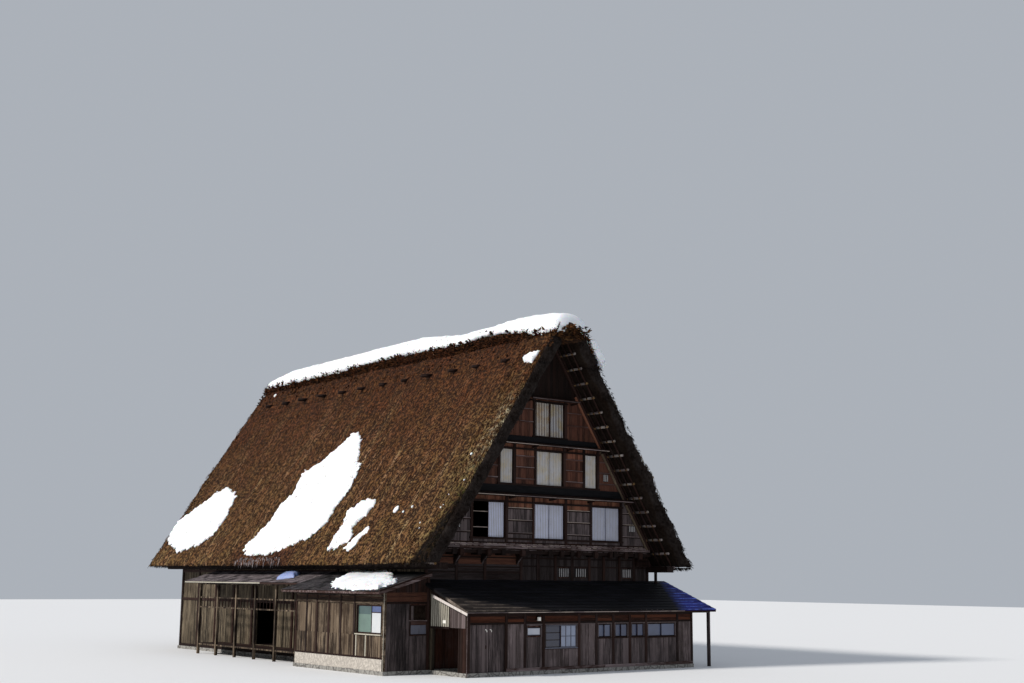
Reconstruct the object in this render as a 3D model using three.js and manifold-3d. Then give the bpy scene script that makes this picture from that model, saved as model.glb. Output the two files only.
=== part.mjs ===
// A steep thatched farmhouse with a long ridge, three attic storeys in each gable,
// a lean-to annex across the front gable and a lean-to wing with a veranda on its left side.
// Millimetres, +Z up. The origin is on the ground under the middle of the front wall,
// +X runs to the right along the front and +Y runs back along the ridge.

import * as THREE from "three";
import { mergeVertices } from "three/addons/utils/BufferGeometryUtils.js";
import Module from "manifold-3d";

const wasm = await Module();
wasm.setup();

// Driving dimensions
const KEN = 1820; // the bay between two posts
const HALF_KEN = KEN / 2;
const HALF_WIDTH = 6000; // outer face of the side walls
const WALL = 150;
const THIN_WALL = 120;
const FRONT_FACE = -50; // outer face of the front wall at ground level
const JETTY = 350; // the attic gables stand this far out over the walls below
const LENGTH = 12 * KEN; // between the outer faces of the attic gables
const FOOTING_TOP = 150;
const GAP = 0.3; // between faces that rest on each other in a turned group
const SLACK = 0.4; // keeps sloping ends clear of the roof
const MARGIN = 10; // cutting tools and lapped parts reach this much further

// Roof
const APEX_Z = 14950; // where the outer faces of the two slopes would meet
const EAVE_X = 7200;
const EAVE_Z = 4040;
const THATCH = 620; // thickness square to the slope
const VERGE = 1290; // overhang beyond the gables
const RISE = (APEX_Z - EAVE_Z) / EAVE_X;
const PITCH = Math.atan(RISE);
const LATTICE = 100;
const LATTICE_OVERHANG = 980;
const RAFTER = 250;
const RAFTER_WIDTH = 200;
const FRAMES = 6;
const PURLINS = 17;
const PURLIN_WIDTH = 90;

// Heights
const FLOOR_TOP = 520;
const FLOOR_DEPTH = 120;
const EAVE_BEAM_Z = 3900;
const EAVE_BEAM_TOP = 4150;
const JOIST_Z = 4500;
const ATTIC_FLOORS = [4850, 7050, 9150]; // tops
const ATTIC_FLOOR_DEPTH = 100;
const CROSS_BEAM_DEPTHS = [590, 200, 200];
const JOISTS = 9;
const JOIST_SPACING = 1220;
const JOIST_WIDTH = 190;
const JOIST_NOSE = 90;

const GABLE_TIP = 13300; // the gable walls end here
const GABLE_Y = FRONT_FACE - JETTY;
const BACK_GABLE_Y = GABLE_Y + LENGTH;
const BACK_FACE = BACK_GABLE_Y - JETTY;

// Windows of the attic storeys: centres, widths, sill and head heights
const ATTIC_WINDOWS = [
  { sill: 5190, head: 6600, windows: [[-3160, 1640], [0, 1640], [3160, 1640]] },
  { sill: 7380, head: 8780, windows: [[-2290, 680], [0, 1460], [2290, 680]] },
  { sill: 9400, head: 10820, windows: [[0, 1600]] },
];
const FRAME_BAR = 55;
const FRAME_PROUD = 30;
const FRAME_INSET = 40; // from the wall's inner face
const SCREEN = { depth: 30, inset: 20, lap: 10 };
const WIDE_WINDOW = 1000; // wider ones have two screens
const RAIL = { height: 90, lap: 20, proud: 55 };
const RAIL_REACH = 160; // rails run this far past the outer windows
const LEDGES = [
  { top: 7000, drop: 110, left: -4380, right: 4380 },
  { top: 9125, drop: 110, left: -2978, right: 2978 },
  { top: 11060, drop: 90, left: -1300, right: 1300 },
];
const LEDGE_REACH = 470;
const LEDGE_BOARD = 60;
const BRACKET = { height: 100, tip: 30, reach: 0.85, half: 35, lap: 4 }; // reach is a share of the ledge's

// Annex across the front
const ANNEX_LEFT = -5960;
const ANNEX_BAYS = 13; // half bays
const ANNEX_RIGHT = ANNEX_LEFT + ANNEX_BAYS * HALF_KEN;
const ANNEX_FRONT = -2790;
const ANNEX_HEAD = 1890;
const ANNEX_WALL_TOP = 2330;
const ANNEX_ROOF = { left: -6160, right: 7020, eaveY: -3070, eaveZ: 2370, wallZ: 3510, depth: 90 };
const ANNEX_WINDOWS = [ // first half bay, half bays, sill, head
  [3, 1, 1440, 1760],
  [4, 2, 970, 1830],
  [7, 1, 1320, 1840],
  [8, 1, 1320, 1840],
  [9, 1, 1320, 1840],
  [10, 2, 1300, 1840],
];
const WINDOW_MARGIN = 110;
const SIDE_DOORWAY = { from: -2340, to: -600, head: 1750 };
const LEAF = { thickness: 35, width: 875, bottom: FOOTING_TOP + GAP, top: 1880, track: 50, inset: 10, clear: 6 };
const PORCH_POST = { x: 6900, size: 110, beam: 80, beamDepth: 160, inset: 20 };

// Doorways under the annex roof and onto the veranda
const INNER_DOORWAYS = [[-3900, -2080], [900, 2720]];
const DOORWAY_HEAD = 2400;
const VERANDA_DOORWAYS = [[7900, 9720], [11540, 13360]];
const WING_DOORWAY = [3000, 4820];

// Lean-to wing on the left
const WING_X = -8000;
const WING_FRONT = GABLE_Y;
const WING_BACK = 6100;
const WING_ROOF = { eaveX: -8520, eaveZ: 3060, rise: 0.295, depth: 80, front: -800, step: 6450, back: 17400 };
const VERANDA = {
  x: -7300, post: 110, first: 7280, posts: 6, rail: 2120, upperRail: 2560, railHeight: 60, railInset: 25,
  headBeam: 150, floor: 480, deck: 60, deckInset: 20, lap: 10, // the head beam is wider than the posts by the lap
};
const VERANDA_ROOF_X = -7620;
const WING_WINDOW = { from: -230, to: 1480, sill: 1480, head: 2560 };
const VENT = { left: -6860, right: -6080, sill: 1440, middle: 1930, head: 2560, bar: 40 };

// Snow that lies on the roofs
const SNOW = 190;
const WING_SNOW_DEPTH = 180;

const timber = new THREE.MeshStandardMaterial({ color: 0x3b2a20, roughness: 0.85, metalness: 0 });
const boards = new THREE.MeshStandardMaterial({ color: 0x4a372b, roughness: 0.9, metalness: 0 });
const thatch = new THREE.MeshStandardMaterial({ color: 0x5f4429, roughness: 1, metalness: 0 });
const screens = new THREE.MeshStandardMaterial({ color: 0xc9ccd6, roughness: 0.8, metalness: 0 });
const glazing = new THREE.MeshStandardMaterial({ color: 0x8fa3b5, roughness: 0.2, metalness: 0 });
const roofing = new THREE.MeshStandardMaterial({ color: 0x2b2d33, roughness: 0.5, metalness: 0.3 });
const stone = new THREE.MeshStandardMaterial({ color: 0x77736c, roughness: 0.95, metalness: 0 });
const snow = new THREE.MeshStandardMaterial({ color: 0xf3f6fa, roughness: 0.7, metalness: 0 });

// Basic shapes
const X = new THREE.Vector3(1, 0, 0);
const Y = new THREE.Vector3(0, 1, 0);
const Z = new THREE.Vector3(0, 0, 1);
const TURNS = {
  x: new THREE.Matrix4().makeBasis(Y, Z, X), // outline in Y and Z
  y: new THREE.Matrix4().makeBasis(X, Z, Y.clone().negate()), // outline in X and Z
  z: new THREE.Matrix4(), // outline in X and Y
};

function points(list) {
  return list.map(([u, v]) => new THREE.Vector2(u, v));
}

function rect(u0, v0, u1, v1) {
  return [[u0, v0], [u1, v0], [u1, v1], [u0, v1]];
}

// Corners to the nearest tenth of a millimetre, so that faces meant to meet do meet.
function snapped(geometry) {
  const place = geometry.attributes.position;
  for (let i = 0; i < place.array.length; i++) place.array[i] = Math.round(place.array[i] * 10) / 10;
  return geometry;
}

function extruded(axis, from, to, outline) {
  const made = new THREE.ExtrudeGeometry(new THREE.Shape(points(outline)), { depth: to - from, bevelEnabled: false });
  made.applyMatrix4(TURNS[axis]);
  const start = { x: [from, 0, 0], y: [0, to, 0], z: [0, 0, from] }[axis];
  return snapped(made.translate(...start));
}

// An outline, with holes cut through it, extruded between two places on an axis.
function prism(axis, from, to, outline, holes = []) {
  const whole = extruded(axis, from, to, outline);
  if (holes.length === 0) return whole;
  return cut(whole, ...holes.map((hole) => extruded(axis, from - 1, to + 1, hole)));
}

function box(x0, x1, y0, y1, z0, z1) {
  const made = new THREE.BoxGeometry(x1 - x0, y1 - y0, z1 - z0);
  return snapped(made.translate((x0 + x1) / 2, (y0 + y1) / 2, (z0 + z1) / 2));
}

function toSolid(geometry) {
  const bare = geometry.clone();
  bare.deleteAttribute("normal");
  bare.deleteAttribute("uv");
  const merged = mergeVertices(bare, 1e-3);
  return new wasm.Manifold(
    new wasm.Mesh({
      numProp: 3,
      vertProperties: merged.attributes.position.array,
      triVerts: new Uint32Array(merged.index.array),
    }),
  );
}

function toGeometry(solid) {
  const mesh = solid.getMesh();
  const made = new THREE.BufferGeometry();
  made.setAttribute("position", new THREE.BufferAttribute(new Float32Array(mesh.vertProperties), 3));
  made.setIndex(new THREE.BufferAttribute(new Uint32Array(mesh.triVerts), 1));
  made.computeVertexNormals();
  return made;
}

function joined(...geometries) {
  return toGeometry(geometries.map(toSolid).reduce((all, next) => all.add(next)));
}

function cut(base, ...tools) {
  return toGeometry(tools.map(toSolid).reduce((left, tool) => left.subtract(tool), toSolid(base)));
}

function piece(name, geometry, material) {
  const mesh = new THREE.Mesh(geometry, material);
  mesh.name = name;
  return mesh;
}

function group(...children) {
  const made = new THREE.Group();
  made.add(...children);
  return made;
}

// Half width, at a height, of the triangle that lies a depth square under the thatch's outer face.
function halfWidthAt(z, depth) {
  return (APEX_Z - z) / RISE - depth / Math.sin(PITCH);
}

const UNDER_THATCH = THATCH + GAP;
const UNDER_LATTICE = UNDER_THATCH + LATTICE + GAP;
const UNDER_RAFTERS = UNDER_LATTICE + RAFTER;

function frameYs() {
  const first = FRONT_FACE + WALL + MARGIN + RAFTER_WIDTH / 2;
  const last = BACK_FACE - WALL - MARGIN - RAFTER_WIDTH / 2;
  return Array.from({ length: FRAMES }, (_, i) => first + ((last - first) * i) / (FRAMES - 1));
}

// Foundation and ground floor
function foundation() {
  const reach = 75;
  const thinReach = 40;
  const ring = (x0, x1, y0, y1, width) =>
    prism("z", 0, FOOTING_TOP, rect(x0, y0, x1, y1), [
      rect(x0 + width, y0 + width, x1 - width, y1 - width),
    ]);
  const width = WALL + 2 * reach;
  const house = ring(-HALF_WIDTH - reach, HALF_WIDTH + reach, FRONT_FACE - reach, BACK_FACE + reach, width);
  const thin = THIN_WALL + 2 * thinReach;
  const annex = ring(ANNEX_LEFT - thinReach, ANNEX_RIGHT + thinReach, ANNEX_FRONT - thinReach, FRONT_FACE, thin);
  const wing = ring(WING_X - thinReach, -HALF_WIDTH, WING_FRONT - thinReach, WING_BACK + thinReach, thin);
  return joined(house, annex, wing);
}

function groundFloor() {
  const inner = HALF_WIDTH - WALL;
  return box(-inner, inner, FRONT_FACE + WALL, BACK_FACE - WALL, FLOOR_TOP - FLOOR_DEPTH, FLOOR_TOP);
}

function floorBearer(x) {
  const half = 60;
  const inset = WALL + 200;
  return box(x - half, x + half, FRONT_FACE + inset, BACK_FACE - inset, 0, FLOOR_TOP - FLOOR_DEPTH);
}

function groundFloorWithBearers() {
  return joined(groundFloor(), ...[-3600, 0, 3600].map(floorBearer));
}

// Walls at ground level
function joistXs() {
  return Array.from({ length: JOISTS }, (_, i) => (i - (JOISTS - 1) / 2) * JOIST_SPACING);
}

function gableEndWall(face, holes) {
  const inner = HALF_WIDTH - WALL;
  const top = ATTIC_FLOORS[0] - ATTIC_FLOOR_DEPTH;
  const foot = EAVE_BEAM_TOP + GAP;
  const shoulder = halfWidthAt(foot, UNDER_LATTICE) - SLACK;
  const high = halfWidthAt(top, UNDER_LATTICE) - SLACK;
  const half = [[inner, FOOTING_TOP], [inner, foot], [shoulder, foot], [high, top]];
  const outline = [...half, ...half.map(([x, z]) => [-x, z]).reverse()];
  const plain = prism("y", face, face + WALL, outline, holes);
  const notches = joistXs().map((x) =>
    box(x - JOIST_WIDTH / 2, x + JOIST_WIDTH / 2, face - MARGIN, face + WALL + MARGIN, JOIST_Z, top + MARGIN));
  return cut(plain, ...notches);
}

const SLATTED_WINDOWS = [[1500, 1930], [2320, 2750], [4760, 5300]];
const SLATTED = { sill: 3760, head: 4160 };

function frontWall() {
  const doorways = INNER_DOORWAYS.map(([x0, x1]) => rect(x0, FLOOR_TOP, x1, DOORWAY_HEAD));
  const vents = SLATTED_WINDOWS.map(([x0, x1]) => rect(x0, SLATTED.sill, x1, SLATTED.head));
  return gableEndWall(FRONT_FACE, [...doorways, ...vents]);
}

const BACK_WINDOWS = [[-4000, -2180], [-910, 910], [2180, 4000]];
const LOW_WINDOW = { sill: 1250, head: 2250 };

function backWall() {
  return gableEndWall(BACK_FACE - WALL, BACK_WINDOWS.map(([x0, x1]) =>
    rect(x0, LOW_WINDOW.sill, x1, LOW_WINDOW.head)));
}

function sideWall(x0, holes) {
  return prism("x", x0, x0 + WALL, rect(FRONT_FACE, FOOTING_TOP, BACK_FACE, EAVE_BEAM_Z), holes);
}

function leftWall() {
  const open = [WING_DOORWAY, ...VERANDA_DOORWAYS];
  return sideWall(-HALF_WIDTH, open.map(([y0, y1]) => rect(y0, FLOOR_TOP, y1, DOORWAY_HEAD)));
}

const RIGHT_WINDOWS = [2000, 6500, 11000, 15500].map((y) => [y, y + KEN]);

function rightWall() {
  return sideWall(HALF_WIDTH - WALL, RIGHT_WINDOWS.map(([y0, y1]) =>
    rect(y0, LOW_WINDOW.sill, y1, LOW_WINDOW.head)));
}

const EAVE_BEAM_REACH = { out: 240, front: VERGE - 300 };

function eaveBeam(side) {
  const outer = HALF_WIDTH + EAVE_BEAM_REACH.out;
  const inner = HALF_WIDTH - WALL;
  const x0 = side > 0 ? inner : -outer;
  return box(x0, x0 + outer - inner, GABLE_Y - EAVE_BEAM_REACH.front, BACK_GABLE_Y + EAVE_BEAM_REACH.front,
    EAVE_BEAM_Z, EAVE_BEAM_TOP);
}

const STRUT = { x: HALF_WIDTH + 150, y: GABLE_Y + 60, width: 90, half: 50, lap: 20 };

// The right beam's front end stands on a strut from the annex roof.
function rightEaveBeam() {
  const { x, y, width, half, lap } = STRUT;
  const foot = annexRoofTopAt(y + half) + GAP;
  return joined(eaveBeam(1), box(x, x + width, y - half, y + half, foot, EAVE_BEAM_Z + lap));
}

// Attic floors: boards on cross beams that end against the rafter frames
function crossBeam(y, z0, z1) {
  const low = halfWidthAt(z0, UNDER_RAFTERS) - SLACK;
  const high = halfWidthAt(z1, UNDER_RAFTERS) - SLACK;
  return prism("y", y - RAFTER_WIDTH / 2, y + RAFTER_WIDTH / 2,
    [[-low, z0], [low, z0], [high, z1], [-high, z1]]);
}

function atticFloor(level) {
  const top = ATTIC_FLOORS[level];
  const underside = top - ATTIC_FLOOR_DEPTH;
  const half = halfWidthAt(top, UNDER_RAFTERS) - 2 * MARGIN;
  const inset = level === 0 ? 0 : WALL;
  const slab = box(-half, half, GABLE_Y + inset, BACK_GABLE_Y - inset, underside, top);
  const beams = frameYs().map((y) => crossBeam(y, underside - CROSS_BEAM_DEPTHS[level], underside + MARGIN));
  return level === 0 ? joined(slab, ...beams, ...atticJoists(), ...gableSills()) : joined(slab, ...beams);
}

// Short joists carry the gables out over the walls below, from the nearest cross beam.
function atticJoists() {
  const top = ATTIC_FLOORS[0] - ATTIC_FLOOR_DEPTH + MARGIN;
  const ys = frameYs();
  const ends = [[GABLE_Y - JOIST_NOSE, ys[0]], [ys[FRAMES - 1], BACK_GABLE_Y + JOIST_NOSE]];
  return joistXs().flatMap((x) =>
    ends.map(([y0, y1]) => box(x - JOIST_WIDTH / 2, x + JOIST_WIDTH / 2, y0, y1, JOIST_Z, top)));
}

function gableSills() {
  const top = ATTIC_FLOORS[0];
  const half = halfWidthAt(top, UNDER_LATTICE) - SLACK;
  const sill = (y0) => box(-half, half, y0, y0 + WALL, top - ATTIC_FLOOR_DEPTH, top);
  return [sill(GABLE_Y), sill(BACK_GABLE_Y - WALL)];
}

// Attic gables, with their windows cut through
function gableWall() {
  const foot = ATTIC_FLOORS[0];
  const low = halfWidthAt(foot, UNDER_LATTICE) - SLACK;
  const high = halfWidthAt(GABLE_TIP, UNDER_LATTICE) - SLACK;
  const holes = ATTIC_WINDOWS.flatMap(({ sill, head, windows }) =>
    windows.map(([x, width]) => rect(x - width / 2, sill, x + width / 2, head)));
  return prism("y", 0, WALL, [[-low, foot], [low, foot], [high, GABLE_TIP], [-high, GABLE_TIP]], holes);
}

// A window frame with its screens. The open half has no screen.
function windowUnit(x, width, sill, head, openLeft) {
  const x0 = x - width / 2;
  const x1 = x + width / 2;
  const frame = prism("y", -FRAME_PROUD, WALL - FRAME_INSET, rect(x0, sill, x1, head), [
    rect(x0 + FRAME_BAR, sill + FRAME_BAR, x1 - FRAME_BAR, head - FRAME_BAR),
  ]);
  const { depth, inset, lap } = SCREEN;
  const stile = box(x - FRAME_BAR / 2, x + FRAME_BAR / 2, inset - lap, inset + depth + lap, sill, head);
  const screen = box(openLeft ? x : x0 + lap, x1 - lap, inset, inset + depth, sill + lap, head - lap);
  return width > WIDE_WINDOW ? [frame, screen, stile] : [frame, screen];
}

function windowRow(level, openLeft) {
  const { sill, head, windows } = ATTIC_WINDOWS[level];
  const units = windows.flatMap(([x, width], i) => windowUnit(x, width, sill, head, openLeft && i === 0));
  const [firstX, firstWidth] = windows[0];
  const end = -firstX + firstWidth / 2 + RAIL_REACH;
  const rails = [sill - RAIL.height + RAIL.lap, head - RAIL.lap]
    .map((z) => box(-end, end, -RAIL.proud, 0, z, z + RAIL.height));
  return joined(...units, ...rails);
}

// A narrow board roof that shelters the windows below it.
function ledge({ top, drop, left, right }) {
  const section = [[0, top - LEDGE_BOARD], [0, top], [-LEDGE_REACH, top - drop],
    [-LEDGE_REACH, top - drop - LEDGE_BOARD]];
  return prism("x", left, right, section);
}

function ledgeBrackets({ top, drop, left, right }) {
  const { height, tip, half, lap } = BRACKET;
  const count = Math.max(2, Math.round((right - left) / KEN));
  const reach = LEDGE_REACH * BRACKET.reach;
  const under = top - LEDGE_BOARD;
  return Array.from({ length: count }, (_, i) => {
    const x = left + ((i + 0.5) * (right - left)) / count;
    const section = [[0, under - height], [0, under + lap], [-reach, under - drop * BRACKET.reach + lap],
      [-reach, under - drop - tip]];
    return prism("x", x - half, x + half, section);
  });
}

// Front and back gables are alike. The back one is turned half round.
function gable(side) {
  const name = side > 0 ? "front" : "back";
  const children = [piece(`${name}_gable_wall`, gableWall(), boards)];
  ATTIC_WINDOWS.forEach((_, level) => {
    const open = side > 0 && level === 0;
    children.push(piece(`${name}_windows_${level + 1}`, windowRow(level, open), screens));
    const spec = LEDGES[level];
    children.push(piece(`${name}_ledge_${level + 1}`, joined(ledge(spec), ...ledgeBrackets(spec)), timber));
  });
  const made = group(...children);
  made.position.y = side > 0 ? GABLE_Y : BACK_GABLE_Y;
  made.rotation.z = side > 0 ? 0 : Math.PI;
  return made;
}

// Rafter frames, each a pair of rafters joined at the top
function rafterFrame() {
  const foot = EAVE_BEAM_TOP + GAP;
  const outerTop = APEX_Z - UNDER_LATTICE / Math.cos(PITCH);
  const innerTop = APEX_Z - UNDER_RAFTERS / Math.cos(PITCH);
  const outer = halfWidthAt(foot, UNDER_LATTICE);
  const inner = halfWidthAt(foot, UNDER_RAFTERS);
  const outline = [[inner, foot], [outer, foot], [0, outerTop], [-outer, foot], [-inner, foot], [0, innerTop]];
  return prism("y", -RAFTER_WIDTH / 2, RAFTER_WIDTH / 2, outline);
}

const LATTICE_SPAN = [1290, 12580]; // from the ridge, down the slope

// Purlins and verge rafters of one slope, tied into one flat lattice
function lattice(side) {
  const [sTop, sEave] = LATTICE_SPAN;
  const y0 = GABLE_Y - LATTICE_OVERHANG;
  const y1 = BACK_GABLE_Y + LATTICE_OVERHANG;
  const pitch = (sEave - sTop - PURLIN_WIDTH) / (PURLINS - 1);
  const verge = [0, LATTICE_OVERHANG];
  const rafters = [...verge.map((d) => y0 + d), ...verge.map((d) => y1 - PURLIN_WIDTH - d).reverse()];
  const holes = [];
  for (let row = 0; row < PURLINS - 1; row++) {
    const s0 = sTop + row * pitch + PURLIN_WIDTH;
    const s1 = sTop + (row + 1) * pitch;
    for (let i = 0; i < rafters.length - 1; i++) {
      holes.push(rect(side * s0, rafters[i] + PURLIN_WIDTH, side * s1, rafters[i + 1]));
    }
  }
  const outline = rect(side * sTop, y0, side * sEave, y1);
  return prism("z", -UNDER_THATCH - LATTICE, -UNDER_THATCH, outline, holes);
}

// A slope's own group: its X runs down the slope and its Z points out of the thatch.
function slopeGroup(side, ...children) {
  const made = group(...children);
  made.position.z = APEX_Z;
  made.rotation.y = side * PITCH;
  return made;
}

const SLAB_TOP = 12300; // the slopes end here, under the ridge cap

function thatchSlope(side) {
  const outerX = (z) => side * halfWidthAt(z, 0);
  const innerX = (z) => side * halfWidthAt(z, THATCH);
  const round = 90;
  const outline = [
    [innerX(EAVE_Z), EAVE_Z],
    [outerX(EAVE_Z) - side * round, EAVE_Z - MARGIN],
    [outerX(EAVE_Z) - (side * round) / 5, EAVE_Z + round / 2],
    [outerX(EAVE_Z + 2 * round), EAVE_Z + 2 * round],
    [outerX(SLAB_TOP), SLAB_TOP],
    [innerX(SLAB_TOP), SLAB_TOP],
  ];
  return prism("y", GABLE_Y - VERGE, BACK_GABLE_Y + VERGE, outline);
}

// Half of an ellipse over the ridge, from the right round to the left
function arch(halfWidth, baseZ, topZ, steps) {
  return Array.from({ length: steps + 1 }, (_, i) => {
    const turn = (Math.PI * i) / steps;
    return [halfWidth * Math.cos(turn), baseZ + (topZ - baseZ) * Math.sin(turn)];
  });
}

const CAP = {
  halfWidth: 880, base: 13500, top: 14230, steps: 10, reach: 300, shoulder: 13600, hollow: 260, lap: 20,
};
const RIDGE_SNOW = { halfWidth: 770, base: 13960, top: 14720, bare: 2, inset: 60 };
const RIDGE_RODS = { count: 12, first: 500, last: 20700, z: 12500, size: 75, inner: 1000, outer: 1950 };

function ridgeRods() {
  const { count, first, last, z, size, inner, outer } = RIDGE_RODS;
  return Array.from({ length: count }, (_, i) => first + ((last - first) * i) / (count - 1)).flatMap((y) => [
    box(inner, outer, y, y + size, z, z + size),
    box(-outer, -inner, y, y + size, z, z + size),
  ]);
}

// The thatch that closes the top of both slopes, with a rounded roll along the ridge
function ridgeCap() {
  const { halfWidth, base, top, steps, reach, shoulder, hollow, lap } = CAP;
  const z0 = SLAB_TOP + GAP;
  const innerTip = APEX_Z - THATCH / Math.cos(PITCH);
  const y0 = GABLE_Y - VERGE;
  const y1 = BACK_GABLE_Y + VERGE;
  const slopes = [-1, 1].map((side) => prism("y", y0, y1, [
    [side * halfWidthAt(z0, THATCH), z0], [side * halfWidthAt(z0, 0), z0],
    [side * halfWidthAt(shoulder, 0), shoulder], [side * halfWidthAt(shoulder, THATCH), shoulder],
  ]));
  const roll = prism("y", y0 - reach, y1 + reach, [...arch(halfWidth, base, top, steps), [-hollow, base],
    [0, innerTip + lap], [hollow, base]]);
  return joined(roll, ...slopes, ...ridgeRods());
}

// The snow leaves the lower flanks of the roll bare.
function ridgeSnow() {
  const { halfWidth, base, top, bare, inset } = RIDGE_SNOW;
  const under = arch(CAP.halfWidth + GAP, CAP.base, CAP.top + GAP, CAP.steps).slice(bare, -bare);
  const over = arch(halfWidth, base, top, CAP.steps);
  const y0 = GABLE_Y - VERGE - CAP.reach + inset;
  const y1 = BACK_GABLE_Y + VERGE + CAP.reach - inset;
  return prism("y", y0, y1, [...over, ...under.reverse()]);
}

// Snow patches on the left slope: place along the ridge and height of each corner, in metres
const SNOW_PATCHES = {
  roof_snow_large: [[9.16, 10.08], [8.53, 9.43], [8.01, 8.89], [7.26, 8.14], [7.12, 7.49], [7.25, 6.7],
    [7.23, 5.92], [7.85, 5.31], [8.87, 5.02], [10.07, 4.72], [11.24, 4.5], [12.83, 4.55], [13.22, 4.96],
    [12.55, 5.94], [12.38, 6.86], [11.9, 7.47], [12.18, 8.3], [10.6, 9.15], [9.85, 10.01]],
  roof_snow_small: [[5.31, 6.82], [4.56, 6.82], [4.22, 6.69], [4.32, 6.1], [4.91, 5.51], [4.52, 5.13],
    [4.87, 4.92], [5.78, 4.67], [5.88, 5.01], [5.72, 5.8], [6.04, 6.3], [5.54, 6.52]],
  roof_snow_far: [[19.22, 7.96], [17.85, 7.46], [17.64, 6.78], [17.32, 6.4], [17.6, 5.5], [18.6, 5.1],
    [19.9, 4.75], [21.2, 5.0], [22.4, 5.4], [22.5, 6.3], [21.6, 6.9], [20.58, 7.45], [19.72, 7.88]],
};

function snowPatch(corners) {
  const outline = corners.map(([y, z]) => [-(APEX_Z - z * 1000) / Math.sin(PITCH), y * 1000]);
  return prism("z", GAP, GAP + SNOW, outline);
}

// Annex
function annexRoofTopAt(y) {
  const { eaveY, eaveZ, wallZ } = ANNEX_ROOF;
  return eaveZ + ((wallZ - eaveZ) * (y - eaveY)) / (FRONT_FACE - eaveY);
}

function annexRoof() {
  const { left, right, eaveY, eaveZ, wallZ, depth } = ANNEX_ROOF;
  return prism("x", left, right, [[eaveY, eaveZ - depth], [eaveY, eaveZ], [FRONT_FACE, wallZ],
    [FRONT_FACE, wallZ - depth]]);
}

function underAnnexRoof(y) {
  return annexRoofTopAt(y) - ANNEX_ROOF.depth - GAP;
}

function annexSideWall(x0, doorway) {
  const y0 = ANNEX_FRONT;
  const y1 = FRONT_FACE;
  const top = [[y1, underAnnexRoof(y1)], [y0, underAnnexRoof(y0)]];
  const plain = prism("x", x0, x0 + THIN_WALL, [[y0, FOOTING_TOP], [y1, FOOTING_TOP], ...top]);
  if (!doorway) return plain;
  const { from, to, head } = SIDE_DOORWAY;
  return cut(plain, box(x0 - MARGIN, x0 + THIN_WALL + MARGIN, from, to, FOOTING_TOP - MARGIN, head));
}

function annexBayX(halfBays) {
  return ANNEX_LEFT + halfBays * HALF_KEN;
}

function annexWindowBoxes() {
  return ANNEX_WINDOWS.map(([bay, width, sill, head]) => {
    const side = WINDOW_MARGIN;
    return [annexBayX(bay) + side, sill, annexBayX(bay + width) - side, head];
  });
}

function annexFrontWall() {
  const holes = annexWindowBoxes().map((corners) => rect(...corners));
  const x0 = annexBayX(2);
  const x1 = ANNEX_RIGHT - THIN_WALL;
  return prism("y", ANNEX_FRONT, ANNEX_FRONT + THIN_WALL, rect(x0, FOOTING_TOP, x1, ANNEX_WALL_TOP), holes);
}

function annexDoorHead() {
  return box(ANNEX_LEFT + THIN_WALL, annexBayX(2), ANNEX_FRONT, ANNEX_FRONT + THIN_WALL, ANNEX_HEAD,
    ANNEX_WALL_TOP);
}

const GLAZING = { bar: 45, proud: 20, inset: 30, sheet: 18, lap: 10, rail: 40, railProud: 35, railLap: 30 };

// Window frames along a wall, carried by one rail over them. Local Y 0 is the wall's outer face.
function framedRow(boxes, depth) {
  const { bar, proud, inset, sheet, lap, rail: half, railProud, railLap } = GLAZING;
  const units = boxes.flatMap(([x0, z0, x1, z1]) => {
    const middle = (x0 + x1) / 2;
    return [
      prism("y", -proud, depth - inset, rect(x0, z0, x1, z1), [rect(x0 + bar, z0 + bar, x1 - bar, z1 - bar)]),
      box(x0 + lap, x1 - lap, inset, inset + sheet, z0 + lap, z1 - lap),
      box(middle - bar / 2, middle + bar / 2, inset - lap, inset + sheet + lap, z0, z1),
    ];
  });
  const heads = Math.max(...boxes.map((corners) => corners[3]));
  const rail = box(boxes[0][0] - railLap, boxes[boxes.length - 1][2] + railLap, -railProud, 0,
    heads - half, heads + half);
  const hangers = boxes
    .filter((corners) => corners[3] < heads - half)
    .map(([x0, , x1, z1]) => box(x0, x1, -proud, 0, z1 - railLap, heads));
  return joined(rail, ...units, ...hangers);
}

function doorLeaf() {
  return box(0, LEAF.width, 0, LEAF.thickness, LEAF.bottom, LEAF.top);
}

function porchPost() {
  const { x, size, beam: beamWidth, beamDepth, inset } = PORCH_POST;
  const y0 = ANNEX_FRONT + inset;
  const post = box(x, x + size, y0, y0 + size, 0, underAnnexRoof(y0));
  const head = underAnnexRoof(y0) - beamDepth;
  const beam = box(ANNEX_RIGHT, x + size, y0, y0 + beamWidth, head, underAnnexRoof(y0));
  return joined(post, beam);
}

function annex() {
  const doors = [
    piece("door_left", doorLeaf(), boards),
    piece("door_right", doorLeaf(), boards),
  ];
  const doorY = ANNEX_FRONT + LEAF.inset;
  doors[0].position.set(ANNEX_LEFT + THIN_WALL + LEAF.clear, doorY, 0);
  doors[1].position.set(annexBayX(2) - LEAF.clear - LEAF.width, doorY + LEAF.track, 0);
  const windows = piece("annex_windows", framedRow(annexWindowBoxes(), THIN_WALL), glazing);
  windows.position.y = ANNEX_FRONT;
  return group(
    piece("annex_roof", annexRoof(), roofing),
    piece("annex_front_wall", annexFrontWall(), boards),
    piece("annex_door_head", annexDoorHead(), boards),
    piece("annex_left_wall", annexSideWall(ANNEX_LEFT, true), boards),
    piece("annex_right_wall", annexSideWall(ANNEX_RIGHT - THIN_WALL, false), boards),
    piece("porch_post", porchPost(), timber),
    windows,
    ...doors,
  );
}

// Wing
function wingRoofTopAt(x) {
  return WING_ROOF.eaveZ + WING_ROOF.rise * (x - WING_ROOF.eaveX);
}

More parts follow.
